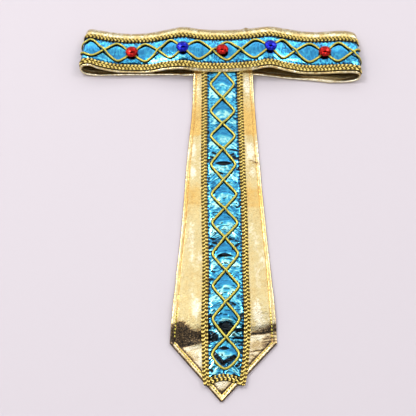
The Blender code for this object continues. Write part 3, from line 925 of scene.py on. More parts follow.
# Across the back layer's lining, from its low edge: the painted bright rim, a line of painted shade, a line
# of painted highlight, and the roll
RIM_WIDTH = 2.4
SHADE_LINE = 3.4
HIGHLIGHT_LINE = 4.8
ROLL_MIDDLE = 1.2
ROLL_RISE = 0.34


def band_hems(outer):
    """Heights over the cloth: the low hem's as a soft step, the top hem's as a half wave."""
    low = LOW_HEM_RISE * (1.0 - smooth_step(LOW_HEM_V - 0.8, LOW_HEM_V, outer))
    share = np.clip((outer - TOP_HEM_V) / (STRIP_HALF - TOP_HEM_V), 0.0, 1.0)
    return low, TOP_HEM_RISE * np.sin(math.pi * share) ** 0.8


def lining_shade(u, inner, under_edge, behind):
    """Shade and tone of the lining: streaks, and a knobbly rim of painted highlight on the back layer, with
    painted shade between its knobs.

    A line of painted shade lies inside the rim, and a second line of painted highlight inside that.
    """
    streaks = 0.20 * noise(u / 7.0, inner[None, :] / 1.0, 7)
    rim = behind * (1.0 - smooth_step(RIM_WIDTH - 0.3, RIM_WIDTH + 0.4, under_edge))
    second = behind * np.exp(-(((under_edge - HIGHLIGHT_LINE) / 0.6) ** 2))
    knob_shade = smooth_step(-0.1, 0.7, noise(u / 1.2, 0.0 * u, 20))
    shade = 0.96 + streaks + (0.10 - 0.6 * streaks - 0.30 * knob_shade) * rim + 0.10 * second
    shade = shade - 0.55 * behind * np.exp(-(((under_edge - SHADE_LINE) / 0.55) ** 2))
    return shade, 0.75 + 0.25 * np.maximum(rim, 0.8 * second)


def make_band(finish):
    """Closed wall: outer and inner sides offset by the half thickness each way.

    The hems stand proud of it, puckered by noise along. The back layer's low edge
    ends in a roll, a bell curve across whose height is noise along.
    """
    outer = np.concatenate([
        np.linspace(-STRIP_HALF, -24.6, 9), [-24.0, -22.0, -17.0, -10.0, -3.0, 4.0, 10.0, 15.0],
        np.linspace(16.5, STRIP_HALF, 15),
    ])
    inner = np.concatenate([
        np.linspace(-INSIDE_EDGE_V, -19.5, 19), np.linspace(-18.0, 20.0, 8), [23.0, 25.5, INSIDE_EDGE_V],
    ])[::-1]
    u = loop_stations(0.55, 0.8)[:, None]
    inside = np.minimum(outer + STRIP_HALF, STRIP_HALF - outer)
    rim = np.sqrt(np.clip(1.0 - (1.0 - np.clip(inside / RIM_RADIUS, 0.0, 1.0)) ** 2, 0.0, 1.0))
    low_hem, top_hem = band_hems(outer)
    on_hem = np.clip(low_hem / LOW_HEM_RISE + top_hem, 0.0, 1.0)[None, :]
    behind = hidden_share(u)
    pucker = 0.16 * noise(u / 3.1, outer[None, :] / 5.0, 3) + 0.15 * noise(u / 1.3, outer[None, :] / 3.4, 4)
    pucker = pucker * (1.0 + 1.4 * behind)
    w = (CLOTH_HALF + low_hem + top_hem) * np.maximum(rim, 0.05) + pucker * on_hem * rim
    top = band_point(u, outer[None, :], w)
    over_panel = hem_over_panel(u)
    top += over_panel * smooth_step(DROP_START_V, DROP_END_V, outer)[None, :, None] * HEM_DROP
    seam = np.exp(-(((u - front_distance(TOP_HEM_SEAM_X)) / 2.4) ** 2))
    seam = seam * smooth_step(22.0, 26.0, outer[None, :])
    top[..., 1] += 1.5 * seam
    waviness = 0.28 * noise(u / 6.0, 0.0 * u, 5) + 0.30 * noise(u / 2.6, 0.0 * u, 6)
    top[..., 1] += waviness * on_hem * (0.4 + behind)
    under_edge = inner[None, :] + STRIP_HALF + 0.4 * noise(u / 9.0, 0.0 * u, 17)
    roll = 1.0 + 0.45 * noise(u / 1.5, 0.0 * u, 18) + 0.35 * noise(u / 3.3, 0.0 * u, 19)
    roll = ROLL_RISE * behind * roll * np.exp(-((under_edge - ROLL_MIDDLE) ** 2))
    under = band_point(u, inner[None, :], -CLOTH_HALF - roll)
    under += over_panel * smooth_step(DROP_START_V, DROP_END_V, inner)[None, :, None] * HEM_DROP
    points = np.concatenate([top, under], axis=1)
    points[..., 2] = np.maximum(points[..., 2], 0.0)
    # Painted highlights and shade on the puckered hems
    painted_crinkle_light = 0.22 * noise(u / 1.7, outer[None, :] / 2.4, 8)
    painted_crinkle_light = painted_crinkle_light + 0.12 * noise(u / 4.5, outer[None, :] / 1.5, 9)
    shade_top = (1.0 - 0.35 * seam) * (0.97 + painted_crinkle_light * on_hem)
    shade_under, tone_under = lining_shade(u, inner, under_edge, behind)
    shade = np.concatenate([shade_top, shade_under], axis=1)
    across = np.concatenate([outer, inner])
    uv = np.stack(np.broadcast_arrays(u * MM, across[None, :] * MM), axis=-1).reshape(-1, 2)
    flat = points.reshape(-1, 3)
    groups = outward(flat, ring_groups(len(u), points.shape[1], True))
    tone = 0.70 + 0.26 * noise(u / 5.0, across[None, :] / 6.0, 10)
    tone = tone + 0.20 * noise(u / 1.6, across[None, :] / 2.0, 16)
    tone[:, len(outer):] = tone_under
    piece = build_mesh("band_cloth", flat, groups, finish, uv, shade, tone=tone)
    ride(piece, "gold_cloth", "band")


FOIL_INSET = 0.9
CORD_WRINKLES = (
    # pitch, amount, reach
    2.0, 0.22, 3.2,
)
EDGE_WRINKLES = (
    # pitch, amount, reach
    2.1, 0.26, 4.2,
)
FINE_PITCH = 1.15
FINE_REACH = 6.0
HOLE_REACH = (1.6, 2.4)
TUCK_SHADE_REACH = (0.25, 0.75)


def gather(across, line, length, seed, pitch):
    """Distance to a line, and wrinkles that leave it at right angles, from -1 to 1.

    The foot on the line is found from the line's slope at the same place along.
    """
    lean = np.arctan(np.gradient(line, length))
    run = np.concatenate([[0.0], np.cumsum(np.hypot(np.diff(length), np.diff(line)))])
    away = across - line[:, None]
    distance = np.abs(away) * np.cos(lean)[:, None]
    foot = run[:, None] + away * np.sin(lean)[:, None]
    side = np.where(away > 0.0, 0.0, 40.0)
    return distance, ridged(foot / pitch, distance / 5.0 + side, seed)


def foil_relief(length, across, low, top, places, swing, sharpness, seed, puff, lit, gain):
    """Height and painted light of the foil between its cords and edges.

    Each cell puffs up between the lines that hold it down, and wrinkles leave every line at right angles,
    painted lighter on their ridges and darker in their hollows, with finer painted streaks. Low arcs and
    pale patches of painted highlight lie across the lit part of a cell. The cords are the first two lines,
    and a line of painted shadow lies close beside each.
    """
    wave = swing * lattice_swing(places, sharpness)
    lines = [
        # line, pitch, amount, reach
        (wave, *CORD_WRINKLES),
        (-wave, *CORD_WRINKLES),
        (np.full(len(length), low), *EDGE_WRINKLES),
        (np.full(len(length), top), *EDGE_WRINKLES),
    ]
    side_cell = smooth_step(0.0, 1.5, np.abs(across) - np.abs(wave)[:, None])
    near = None
    height = 0.0
    painted_light = 0.5
    for index, (line, pitch, amount, reach) in enumerate(lines):
        distance, wrinkle = gather(across, line, length, seed + 7 * index, pitch)
        near = distance if near is None else np.minimum(near, distance)
        if index == 1:
            cord_near = near
        fade = np.exp(-distance / reach) * np.clip(distance / 1.2, 0.0, 1.0)
        height = height + amount * wrinkle * fade
        # Painted highlight on each wrinkle's ridge and painted shade in its hollow, with finer painted
        # streaks
        painted_light = painted_light + (0.17 + 0.17 * side_cell) * wrinkle * fade
        fine = gather(across, line, length, seed + 7 * index + 3, FINE_PITCH)[1]
        painted_light = painted_light + (0.09 + 0.25 * side_cell) * fine * np.exp(-distance / FINE_REACH)
    bowed = length[:, None] - 0.035 * across * across
    arcs = ridged(across / 6.0, bowed / 2.1, seed + 40)
    free = smooth_step(0.8, 2.4, near)
    painted_highlight_share = lit * free
    height = height + (0.10 + 0.12 * painted_highlight_share) * arcs * free
    broad = noise(across / 4.0, bowed / 3.4, seed + 41)
    height = height + 0.20 * broad * free
    height = height + puff * (1.0 - np.exp(-near / 2.6))
    streaks = noise(across / 1.5, bowed / 2.6, seed + 42)
    # Pale patches of painted highlight on the lit part of each cell
    painted_light = painted_light + painted_highlight_share * (0.27 + 0.20 * broad + 0.16 * arcs + 0.16 * streaks)
    painted_light = painted_light + side_cell * free * (0.05 + 0.05 * broad + 0.15 * arcs)
    painted_light = painted_light + (1.0 - lit) * (1.0 - side_cell) * free * 0.10 * arcs
    # A painted shadow close beside each cord
    painted_cord_shadow = np.exp(-(((cord_near - CORD_HALF_WIDTH - 0.07) / 0.4) ** 2))
    return height, (0.5 + gain * (painted_light - 0.5)) * (1.0 - 0.55 * painted_cord_shadow)


def painted_edge_shade(stations, turn_length, quarter, from_edge):
    """Painted shade in the holes between the loops of a plait along the foil's edge, and a painted shadow
    along the edge where the foil tucks under, as a factor.
    """
    turns = PLAIT_STRANDS * (np.asarray(stations) / turn_length - quarter)
    between_loops = smooth_step(0.0, 0.75, -np.cos(TAU * turns))
    hole = between_loops * (1.0 - smooth_step(*HOLE_REACH, from_edge))
    # A painted shadow along the edge, where the foil tucks under the braid
    seam = 1.0 - smooth_step(*TUCK_SHADE_REACH, from_edge)
    return (1.0 - 0.99 * hole) * (1.0 - 0.85 * seam)


PLAIT_STRANDS = 5
PLAIT_SWING = 2.35
PLAIT_RISE = 0.42
STRAND_HALF_WIDTH = 0.64
STRAND_HALF_HEIGHT = 0.46
BAND_PLAIT_LENGTH = 18.0
PANEL_PLAIT_LENGTH = 17.4
BRAID_STEP = 0.62
BRAID_GAP = 0.15
SHADOW_SHEET_MARGIN = 0.3
SHADOW_SHEET_TUCK = 0.6
SHADOW_SHEET_LOW = 0.05
SHADOW_SHEET_TOP = 0.3
BAND_TURN = LOOP_LENGTH / round(LOOP_LENGTH / BAND_PLAIT_LENGTH)


def make_band_foil(finish):
    """Wrinkled foil over a flat underside, all round the loop."""
    u = loop_stations(0.42, 1.1)
    v = np.linspace(BAND_FOIL_LOW_V, BAND_FOIL_TOP_V, 70)
    places = np.interp(u, CROSSING_TABLE, CROSSING_NUMBERS)
    across = np.broadcast_to(v[None, :] - BAND_LATTICE_V, (len(u), len(v)))
    # Patches where pale painted highlight goes on the band's foil
    lit = smooth_step(0.0, 0.6, noise(u[:, None] / 8.0, across / 8.0, 15) - 0.02 * across)
    low = BAND_FOIL_LOW_V + FOIL_INSET - BAND_LATTICE_V
    high = BAND_FOIL_TOP_V - FOIL_INSET - BAND_LATTICE_V
    relief, shade = foil_relief(
        u, across, low, high,
        places, BAND_LATTICE_SWING, BAND_SHARPNESS, 11, 0.6, 0.28 * lit, 0.75,
    )
    creases = ridged(u[:, None] / 9.0 + v[None, :] / 22.0, v[None, :] / 26.0, 77)
    crease = smooth_step(0.80, 0.97, creases)
    relief = relief - 0.4 * crease
    pressed = 1.0 - 0.75 * hidden_share(u)[:, None]
    w = CLOTH_HALF + FOIL_SEAT + np.maximum(0.28 * relief * pressed, -0.1)
    top = band_point(u[:, None], v[None, :], w)
    under_v = np.linspace(BAND_FOIL_TOP_V, BAND_FOIL_LOW_V, 6)
    under = band_point(u[:, None], under_v[None, :], CLOTH_HALF + FOIL_GAP)
    points = np.concatenate([top, under], axis=1)
    # Painted shade in the creases, over their real dip
    shade = shade * (1.0 - 0.5 * crease)
    shade = shade * painted_edge_shade(u[:, None], BAND_TURN, 0.25, v[None, :] - BAND_FOIL_LOW_V)
    shade = shade * painted_edge_shade(u[:, None], BAND_TURN, 0.75, BAND_FOIL_TOP_V - v[None, :])
    shade = np.concatenate([shade, np.ones(under.shape[:2])], axis=1)
    across_all = np.concatenate([v, under_v])
    uv = np.stack(np.broadcast_arrays(u[:, None] * MM, across_all[None, :] * MM), axis=-1)
    flat = points.reshape(-1, 3)
    groups = outward(flat, ring_groups(len(u), points.shape[1], True))
    piece = build_mesh("band_foil_strip", flat, groups, finish, uv.reshape(-1, 2), shade)
    ride(piece, "blue_foil", "band_foil")


# Rows of painted shade in each plait's gaps, with painted highlights between them
LOW_BRAID_HOLES = [
    # place across, place along in beats, depth
    (1.1, 0.0, 0.97),
    (-1.1, 0.5, 0.85),
]
TOP_BRAID_HOLES = [
    # place across, place along in beats, depth
    (-1.9, 0.25, 0.97),
    (-0.3, 0.0, 0.70),
    (1.5, 0.75, 0.40),
]
PANEL_BRAID_HOLES = [
    # place across, place along in beats, depth
    (-1.8, 0.25, 0.58),
    (0.0, 0.0, 0.30),
    (1.8, 0.75, 0.58),
]
ARCH_BRAID_HOLES = [
    # place across, place along in beats, depth
    (-1.8, 0.25, 0.95),
    (0.0, 0.0, 0.85),
    (1.8, 0.75, 0.95),
]


def plait_painted_light(beats, across, rows):
    """Painted shade in the gaps and painted highlights on the beads between them, in rows along a plait, as
    a factor.
    """
    shade = 1.0 + 0.24 * noise(beats / 0.7, across / 1.2, 51)
    for row, phase, depth in rows:
        beat = 0.5 + 0.5 * np.cos(TAU * (beats - phase))
        near = np.exp(-(((across - row) / 0.65) ** 2))
        shade = shade * (1.0 - depth * near * smooth_step(0.4, 0.85, beat))
        shade = shade + 0.34 * near * smooth_step(0.3, 0.85, 1.0 - beat)
    return shade


def plait_tubes(stations, turn_length, place, press, close, inner_side, hole_rows):
    """A flat plait: strands swing as a sine of the distance along.

    Each goes over and under as the sine of four times the same angle, painted darker as shade where it dips
    under and at its sides. A black sheet of painted shade lies under them, out to just past the edge that
    the foil tucks under.
    """
    tubes = []
    base = BRAID_GAP + (PLAIT_RISE + STRAND_HALF_HEIGHT) * press
    for strand in range(PLAIT_STRANDS):
        angle = TAU * (stations / turn_length + strand / PLAIT_STRANDS)
        across = PLAIT_SWING * np.sin(angle)
        rise = PLAIT_RISE * np.sin(4.0 * angle)
        path = place(stations, across, base + rise * press)
        normals = unit(place(stations, across, base + 1.0) - place(stations, across, base))
        rings, _, height = tube_points(
            path, normals, STRAND_HALF_WIDTH, STRAND_HALF_HEIGHT * press, 7, close=close,
        )
        span = PLAIT_RISE + STRAND_HALF_HEIGHT
        # Painted shade where a strand dips under and at its sides, lighter on its top
        shade = 0.5 + 0.5 * (rise[:, None] + STRAND_HALF_HEIGHT * height) / span
        shade = shade * plait_painted_light(PLAIT_STRANDS * stations / turn_length, across, hole_rows)[:, None]
        tubes.append((rings, shade))
    # A black sheet of painted shade under the strands
    low = -PLAIT_SWING - (SHADOW_SHEET_TUCK if inner_side < 0 else SHADOW_SHEET_MARGIN)
    high = PLAIT_SWING + (SHADOW_SHEET_TUCK if inner_side > 0 else SHADOW_SHEET_MARGIN)
    corners = [(low, SHADOW_SHEET_LOW), (high, SHADOW_SHEET_LOW), (high, SHADOW_SHEET_TOP), (low, SHADOW_SHEET_TOP)]
    flat = np.ones(len(stations))
    rings = np.stack([place(stations, across * flat, up * flat) for across, up in corners], axis=1)
    tubes.append((rings, 0.0))
    return tubes


def make_band_braid(name, node, middle_v, inner_side, hole_rows, finish):
    """A plait all round the loop at its own v, pressed flatter on the back layer."""
    stations = loop_stations(BRAID_STEP, 1.1)
    press = 1.0 - 0.5 * hidden_share(stations)

    def place(s, across, height):
        return band_point(s, middle_v + across, CLOTH_HALF + height)

    tubes = plait_tubes(stations, BAND_TURN, place, press, True, inner_side, hole_rows)
    ride(rings_piece(name, tubes, finish, True), "gold_braid", node)


CORD_HALF_WIDTH = 1.08
CORD_HALF_HEIGHT = 0.95
CORD_SEAT = 0.5
HUMP_REACH = 6.0
CORD_TWIST = 4.2
CORD_LOBES = 3
CORD_LOBE_DEPTH = 0.09
CROSSING_RISE = 1.7
UNDER_STONE = (6.0, 10.0)


def hump(distance, height):
    """A squared cosine of the distance to a crossing, as high as one cord over another."""
    near = np.clip(np.abs(distance) / HUMP_REACH, 0.0, 1.0)
    return height * np.cos(near * math.pi / 2.0) ** 2


def cord_tube(path, normals, press, close):
    """A rope of three twisted lobes, with painted shade at its sides and in its grooves, lighter on its
    top.
    """
    run = np.concatenate([[0.0], np.cumsum(np.linalg.norm(np.diff(path, axis=0), axis=1))])
    rings, lobe, height = tube_points(
        path, normals, CORD_HALF_WIDTH, CORD_HALF_HEIGHT * press, 9,
        TAU * run / CORD_TWIST, CORD_LOBES, CORD_LOBE_DEPTH, close,
    )
    ridge = (lobe - 1.0 + CORD_LOBE_DEPTH) / (2.0 * CORD_LOBE_DEPTH)
    shade = 0.10 + 0.90 * smooth_step(-0.20, 0.85, height) * (0.66 + 0.34 * ridge)
    return rings, shade


def make_band_cord(name, side, finish):
    """One cord of the lattice, all round the loop, over or under the other in turn."""
    u = loop_stations(0.36, 0.8)
    places = np.interp(u, CROSSING_TABLE, CROSSING_NUMBERS)
    v = BAND_LATTICE_V + side * BAND_LATTICE_SWING * lattice_swing(places, BAND_SHARPNESS)
    nearest = np.rint(places).astype(int)
    pitch = np.interp(places, CROSSING_NUMBERS[:-1], np.diff(CROSSING_TABLE))
    distance = (places - nearest) * np.hypot(pitch, 2.0 * BAND_LATTICE_SWING)
    first = nearest % CROSSING_COUNT == 0
    over = first if side < 0 else ~first
    press = 1.0 - 0.5 * hidden_share(u)
    for _, stone_x, _ in STONES:
        far = np.abs(u - front_distance(stone_x))
        press = np.minimum(press, 0.5 + 0.5 * smooth_step(*UNDER_STONE, far))
    base = CLOTH_HALF + CORD_SEAT + CORD_HALF_HEIGHT * press
    base = base + np.where(over, hump(distance, CROSSING_RISE * press), 0.0)
    path = band_point(u, v, base)
    normals = unit(band_point(u, v, base + 1.0) - path)
    piece = rings_piece(name, [cord_tube(path, normals, press, True)], finish, True)
    ride(piece, "yellow_cord", name.replace("_rope", ""))


STONE_ROWS = [
    # radius, height, turn in sides
    (6.1, 0.0, 0.0),
    (6.55, 0.8, 0.0),
    (5.5, 2.3, 0.5),
    (3.8, 3.4, 0.0),
    (2.1, 3.9, 0.5),
]
STONE_SIDES = 10
STONE_SEAT = 2.5
STONE_TURN = 0.2


def make_stone(name, x, v, finish):
    """Rings of a cut stone, each an even polygon, joined by triangles under a table."""
    rows = STONE_ROWS
    sides = STONE_SIDES
    base = CLOTH_HALF + STONE_SEAT
    u = float(front_distance(x))
    seat = band_point(u, v, base)
    up = unit(band_point(u, v, base + 1.0) - seat)
    right = unit(np.cross(strip_point(u, v + 1.0) - strip_point(u, v - 1.0), up))
    ahead = np.cross(up, right)
    rings = []
    for radius, height, turn in rows:
        angle = TAU * (np.arange(sides) + turn + STONE_TURN) / sides
        ring = radius * np.cos(angle)[:, None] * right + radius * np.sin(angle)[:, None] * ahead
        rings.append(seat + ring + height * up)
    points = np.concatenate(rings)
    j = np.arange(sides)
    k = (j + 1) % sides
    triangles = []
    for row in range(len(rows) - 1):
        low = row * sides
        high = low + sides
        if rows[row + 1][2] > rows[row][2]:
            triangles += [(low + j, low + k, high + j), (high + j, low + k, high + k)]
        elif rows[row + 1][2] < rows[row][2]:
            triangles += [(low + j, low + k, high + k), (high + j, low + j, high + k)]
        else:
            triangles += [(low + j, low + k, high + k), (low + j, high + k, high + j)]
    sides_group = np.concatenate([np.stack(corners, 1) for corners in triangles])
    table = (np.arange(sides) + (len(rows) - 1) * sides)[None, :]
    back = np.arange(sides)[None, ::-1]
    groups = outward(points, [sides_group, table, back])
    piece = build_mesh(name + "_cut", points, groups, finish, points[:, :2] * MM, smooth=False)
    ride(piece, name.split("_")[1] + "_stone", name)


# Pieces of the panel


def panel_edge_distance(x, y):
    """Distance in from the panel's nearest edge, and whether that edge is a slanting one."""
    row = panel_row(np.maximum(y, PANEL_CORNER_Y))
    straight = np.minimum(x - row[..., 0], row[..., 1] - x)
    corner = panel_row(np.array([PANEL_CORNER_Y]))[0]
    slanting = []
    for edge_x, tip_x, sign in (
        (corner[0], PANEL_TIP[0] - PANEL_TIP_HALF_WIDTH, 1.0),
        (corner[1], PANEL_TIP[0] + PANEL_TIP_HALF_WIDTH, -1.0),
    ):
        dx, dy = tip_x - edge_x, PANEL_TIP[1] - PANEL_CORNER_Y
        slanting.append(sign * (dx * (y - PANEL_CORNER_Y) - dy * (x - edge_x)) / math.hypot(dx, dy))
    slant = np.minimum(slanting[0], slanting[1])
    return np.minimum(straight, slant), slant < straight


HEM_LINES = (3.3, 4.6)
HEM_COLUMNS = np.array([
    0.0, 0.12, 0.35, 0.7, 1.2, 1.9, 2.6, 3.1, 3.5, 3.9, 4.3, 4.7, 5.1, 5.6, 6.4, 7.6,
])
HEM_WIDENS_Y = (-65.0, -125.0)
SLANT_WIDENING = 0.34
PANEL_RIM_RADIUS = 0.9
STITCH_LINE = 3.7
TIP_FOLD_Y = (-183.6, -186.4)
TIP_FOLD_INSIDE = (4.2, 5.0)
ROUGH_BELOW_Y = (-128.0, -146.0)
FLAT_ABOVE_Y = (149.0, 120.0)
# The gold's tone by y, at its left and at its right: bands of painted reflection, cream where the gold
# mirrors bright light and peach where it mirrors the dimmer room
TONES = [
    # y, left tone, right tone
    (150.0, 0.40, 0.60),
    (120.0, 0.55, 0.70),
    (106.0, 0.42, 0.56),
    (99.0, 0.22, 0.26),
    (92.0, 0.05, 0.0),
    (68.5, 0.05, 0.0),
    (65.5, 0.66, 0.70),
    (50.0, 0.84, 0.84),
    (22.0, 0.74, 0.80),
    (10.0, 0.46, 0.50),
    (6.0, 0.18, 0.14),
    (-9.0, 0.24, 0.20),
    (-13.0, 0.58, 0.62),
    (-30.0, 0.78, 0.72),
    (-70.0, 0.74, 0.74),
    (-112.0, 0.62, 0.68),
    (-136.0, 0.80, 0.90),
    (-148.0, 0.90, 0.92),
    (-165.0, 0.88, 0.88),
    (-180.0, 0.86, 0.86),
    (-194.5, 0.60, 0.60),
]


def hem_line(y):
    """How far inside the panel's upright edges its hem is sewn, at y."""
    return HEM_LINES[0] + (HEM_LINES[1] - HEM_LINES[0]) * smooth_step(*HEM_WIDENS_Y, y)


def panel_tone(x, y):
    """The gold's tone, a painted reflection: the table's two sides blended across, with cloudy borders, and
    ovals of painted highlight.
    """
    table = np.array(TONES)[::-1]
    wander = y + 1.2 * noise(x / 6.0, y / 9.0, 91) + 1.0 * noise(x / 2.2, y / 3.0, 92)
    left = np.interp(wander, table[:, 0], table[:, 1])
    right = np.interp(wander, table[:, 0], table[:, 2])
    tone = left + (right - left) * smooth_step(-10.0, 14.0, x)
    ragged = 0.25 * noise(x / 1.5, y / 2.0, 95)
    for middle_x, middle_y, half_x, half_y, rise in PAINTED_HIGHLIGHT_PATCHES:
        far = oval_distance(x, y, middle_x, middle_y, half_x, half_y) + ragged
        tone = tone + rise * (1.0 - smooth_step(0.3, 1.1, far))
    return tone + 0.16 * noise(x / 4.5, y / 16.0, 93) + 0.13 * noise(x / 1.4, y / 1.8, 94)


def panel_columns(y):
    """x of each column at y: close together over both hems, even between them."""
    edges = panel_row(y)
    width = edges[:, 1] - edges[:, 0]
    slanted = smooth_step(PANEL_CORNER_Y + 1.0, PANEL_CORNER_Y - 1.0, y)
    scale = np.minimum(1.0 + SLANT_WIDENING * slanted, width / 2.0 / 8.2)
    inner = HEM_COLUMNS[-1] * scale
    middle = np.linspace(0.0, 1.0, 64)[None, 1:-1]
    return np.concatenate([
        edges[:, :1] + HEM_COLUMNS[None, :] * scale[:, None],
        edges[:, :1] + inner[:, None] + (width - 2.0 * inner)[:, None] * middle,
        edges[:, 1:2] - HEM_COLUMNS[None, ::-1] * scale[:, None],
    ], axis=1)


def panel_hem(x, y, inside, slant):
    """Height, painted shade and loss of tone of the panel's hem.

    Its rim is a quarter circle, its seam a bell-shaped groove, painted darker along it as shade, with less
    of the cream tone there and along the stitches. On the slanting edges the hem rises towards the rim,
    with a painted dark edge line of shade outside it.
    """
    line = np.where(slant, HEM_LINES[1], hem_line(y))
    rim = np.sqrt(np.clip(1.0 - (1.0 - np.clip(inside / PANEL_RIM_RADIUS, 0.0, 1.0)) ** 2, 0.0, 1.0))
    turned = 1.0 - smooth_step(line - 0.7, line, inside)
    slope = 1.0 - np.clip((inside - 0.8) / (line - 0.8), 0.0, 1.0)
    raised = np.where(slant, 0.62 * slope, 0.12 * turned)
    groove = np.exp(-(((inside - line) / 0.5) ** 2))
    height = PANEL_HALF * np.maximum(rim, 0.04) + raised * rim - (0.08 + 0.12 * slant) * groove
    height = height + (0.07 - 0.04 * slant) * turned * rim * noise(x / 1.4, y / 2.3, 61)
    from_line = (inside - line - 0.65 * slant) / (0.65 + 0.20 * slant)
    uneven = 0.85 + 0.25 * slant * noise((x + 2.0 * y) / 3.0, 0.0 * x, 62)
    # Painted shade along the seam's groove
    shade = 1.0 - (0.26 + 0.70 * slant) * uneven * np.exp(-(from_line ** 2))
    # A painted dark edge line of shade at the rim, wider on the slanting edges
    thin_outline_shade = 0.45 * np.exp(-((inside / 0.5) ** 2))
    outline_shade = np.where(slant, 0.90 * (1.0 - smooth_step(0.9, 1.6, inside)), thin_outline_shade)
    on_slant = np.exp(-(((inside - STITCH_LINE) / 0.7) ** 2))
    return height, shade * (1.0 - outline_shade), 0.6 * np.where(slant, on_slant, np.exp(-(from_line ** 2)))


def make_panel(finish):
    """Closed wall over y and a share across, with hems, creases and a soft swell."""
    y = np.concatenate([
        np.linspace(PANEL[0][0], -110.0, 380), np.linspace(-110.4, PANEL_TIP[1], 210),
    ])
    edges = panel_row(y)
    width = edges[:, 1] - edges[:, 0]
    x = panel_columns(y)
    grid_y = np.repeat(y[:, None], x.shape[1], axis=1)
    inside, slant = panel_edge_distance(x, grid_y)
    inside = np.maximum(inside, 0.0)
    height, shade, tone_loss = panel_hem(x, grid_y, inside, slant)
    # Ovals of painted shade on the gold
    shade = shade * patches(x, grid_y, GOLD_PAINTED_SHADE, 71)
    # Painted shade in the fold above the tip, inside the hem lines
    ragged_y = grid_y + 0.7 * noise(x, grid_y, 68)
    tip_fold_shade = smooth_step(*TIP_FOLD_INSIDE, inside) * smooth_step(*TIP_FOLD_Y, ragged_y)
    shade = shade * (1.0 - 0.9 * tip_fold_shade)
    # Bands of painted reflection of the dark, over the dark that the bent cloth really mirrors
    shade = shade * painted_dark_band(x, grid_y, LEFT_BAND, 0.84, 67) * painted_dark_band(x, grid_y, RIGHT_BAND, 0.74, 69)
    # Each crease dips a little and is painted dark along it as shade
    bent_y = grid_y + 0.5 * noise(x / 5.0, 0.0 * x, 65)
    for x0, y0, x1, y1, size, depth in GOLD_CREASES:
        far, along = segment_distance(x, bent_y, x0, y0, x1, y1)
        taper = np.sin(math.pi * np.clip(0.06 + 0.88 * along, 0.0, 1.0)) ** 0.4
        height = height - 0.12 * depth * np.exp(-((far / (1.3 * size)) ** 2)) * taper
        shade = shade * (1.0 - 1.35 * depth * np.exp(-((far / (0.85 * size)) ** 2)) * taper)
    tone = panel_tone(x, grid_y) - tone_loss
    swell = 0.22 * noise(x / 17.0, grid_y / 21.0, 21) + 0.06 * noise(x / 6.0, grid_y / 6.0, 22)
    rough = smooth_step(*ROUGH_BELOW_Y, grid_y)
    swell = swell + 0.06 * rough * noise(x / 2.6, grid_y / 3.4, 23)
    swell = swell + 0.012 * noise(x / 1.3, grid_y / 1.3, 24)
    row = stripe_row(grid_y)
    under_trims = smooth_step(row[..., 1] + 1.5, row[..., 1] - 1.5, np.abs(x - row[..., 0]))
    swell = swell * smooth_step(0.0, 8.0, inside) * (1.0 - under_trims)
    height = height + swell * smooth_step(*FLAT_ABOVE_Y, grid_y) - 0.3 * under_trims
    cloudy = 0.05 * noise(x / 5.5, grid_y / 11.0, 25) + 0.06 * noise(x / 2.1, grid_y / 2.6, 26)
    cracks = smooth_step(0.80, 0.97, ridged(x / 7.0, grid_y / 2.4, 27))
    shade = shade * (0.95 + cloudy - 0.07 * cracks)
    upper = panel_point(grid_y, x, np.maximum(height, 0.03))
    under_share = np.linspace(1.0, 0.0, 8)[None, :]
    under_x = edges[:, :1] + width[:, None] * (0.004 + 0.992 * under_share)
    under = panel_point(np.repeat(y[:, None], 8, axis=1), under_x, -PANEL_HALF)
    under[..., 2] = np.maximum(under[..., 2], 0.0)
    points = np.concatenate([upper, under], axis=1)
    shade = np.concatenate([shade, np.full(under.shape[:2], 0.8)], axis=1)
    tone = np.concatenate([tone, np.ones(under.shape[:2])], axis=1)
    flat = points.reshape(-1, 3)
    groups = outward(flat, ring_groups(len(y), points.shape[1], False))
    piece = build_mesh("panel_cloth", flat, groups, finish, flat[:, :2] * MM, shade, tone=tone)
    ride(piece, "gold_cloth", "panel")


def panel_places(y):
    """The place at y among the panel's crossings, which are whole numbers from the top."""
    table = np.array(PANEL_CROSSINGS)[::-1]
    return np.interp(y, table, np.arange(len(table))[::-1])


# Where in each diamond its pale painted highlight starts and ends
LIT_START = (0.38, 0.52)
LIT_END = (0.99, 0.90)
SMOOTH_ABOVE_Y = (50.0, 62.0)
UNDER_BAND_Y = (147.0, 132.0)


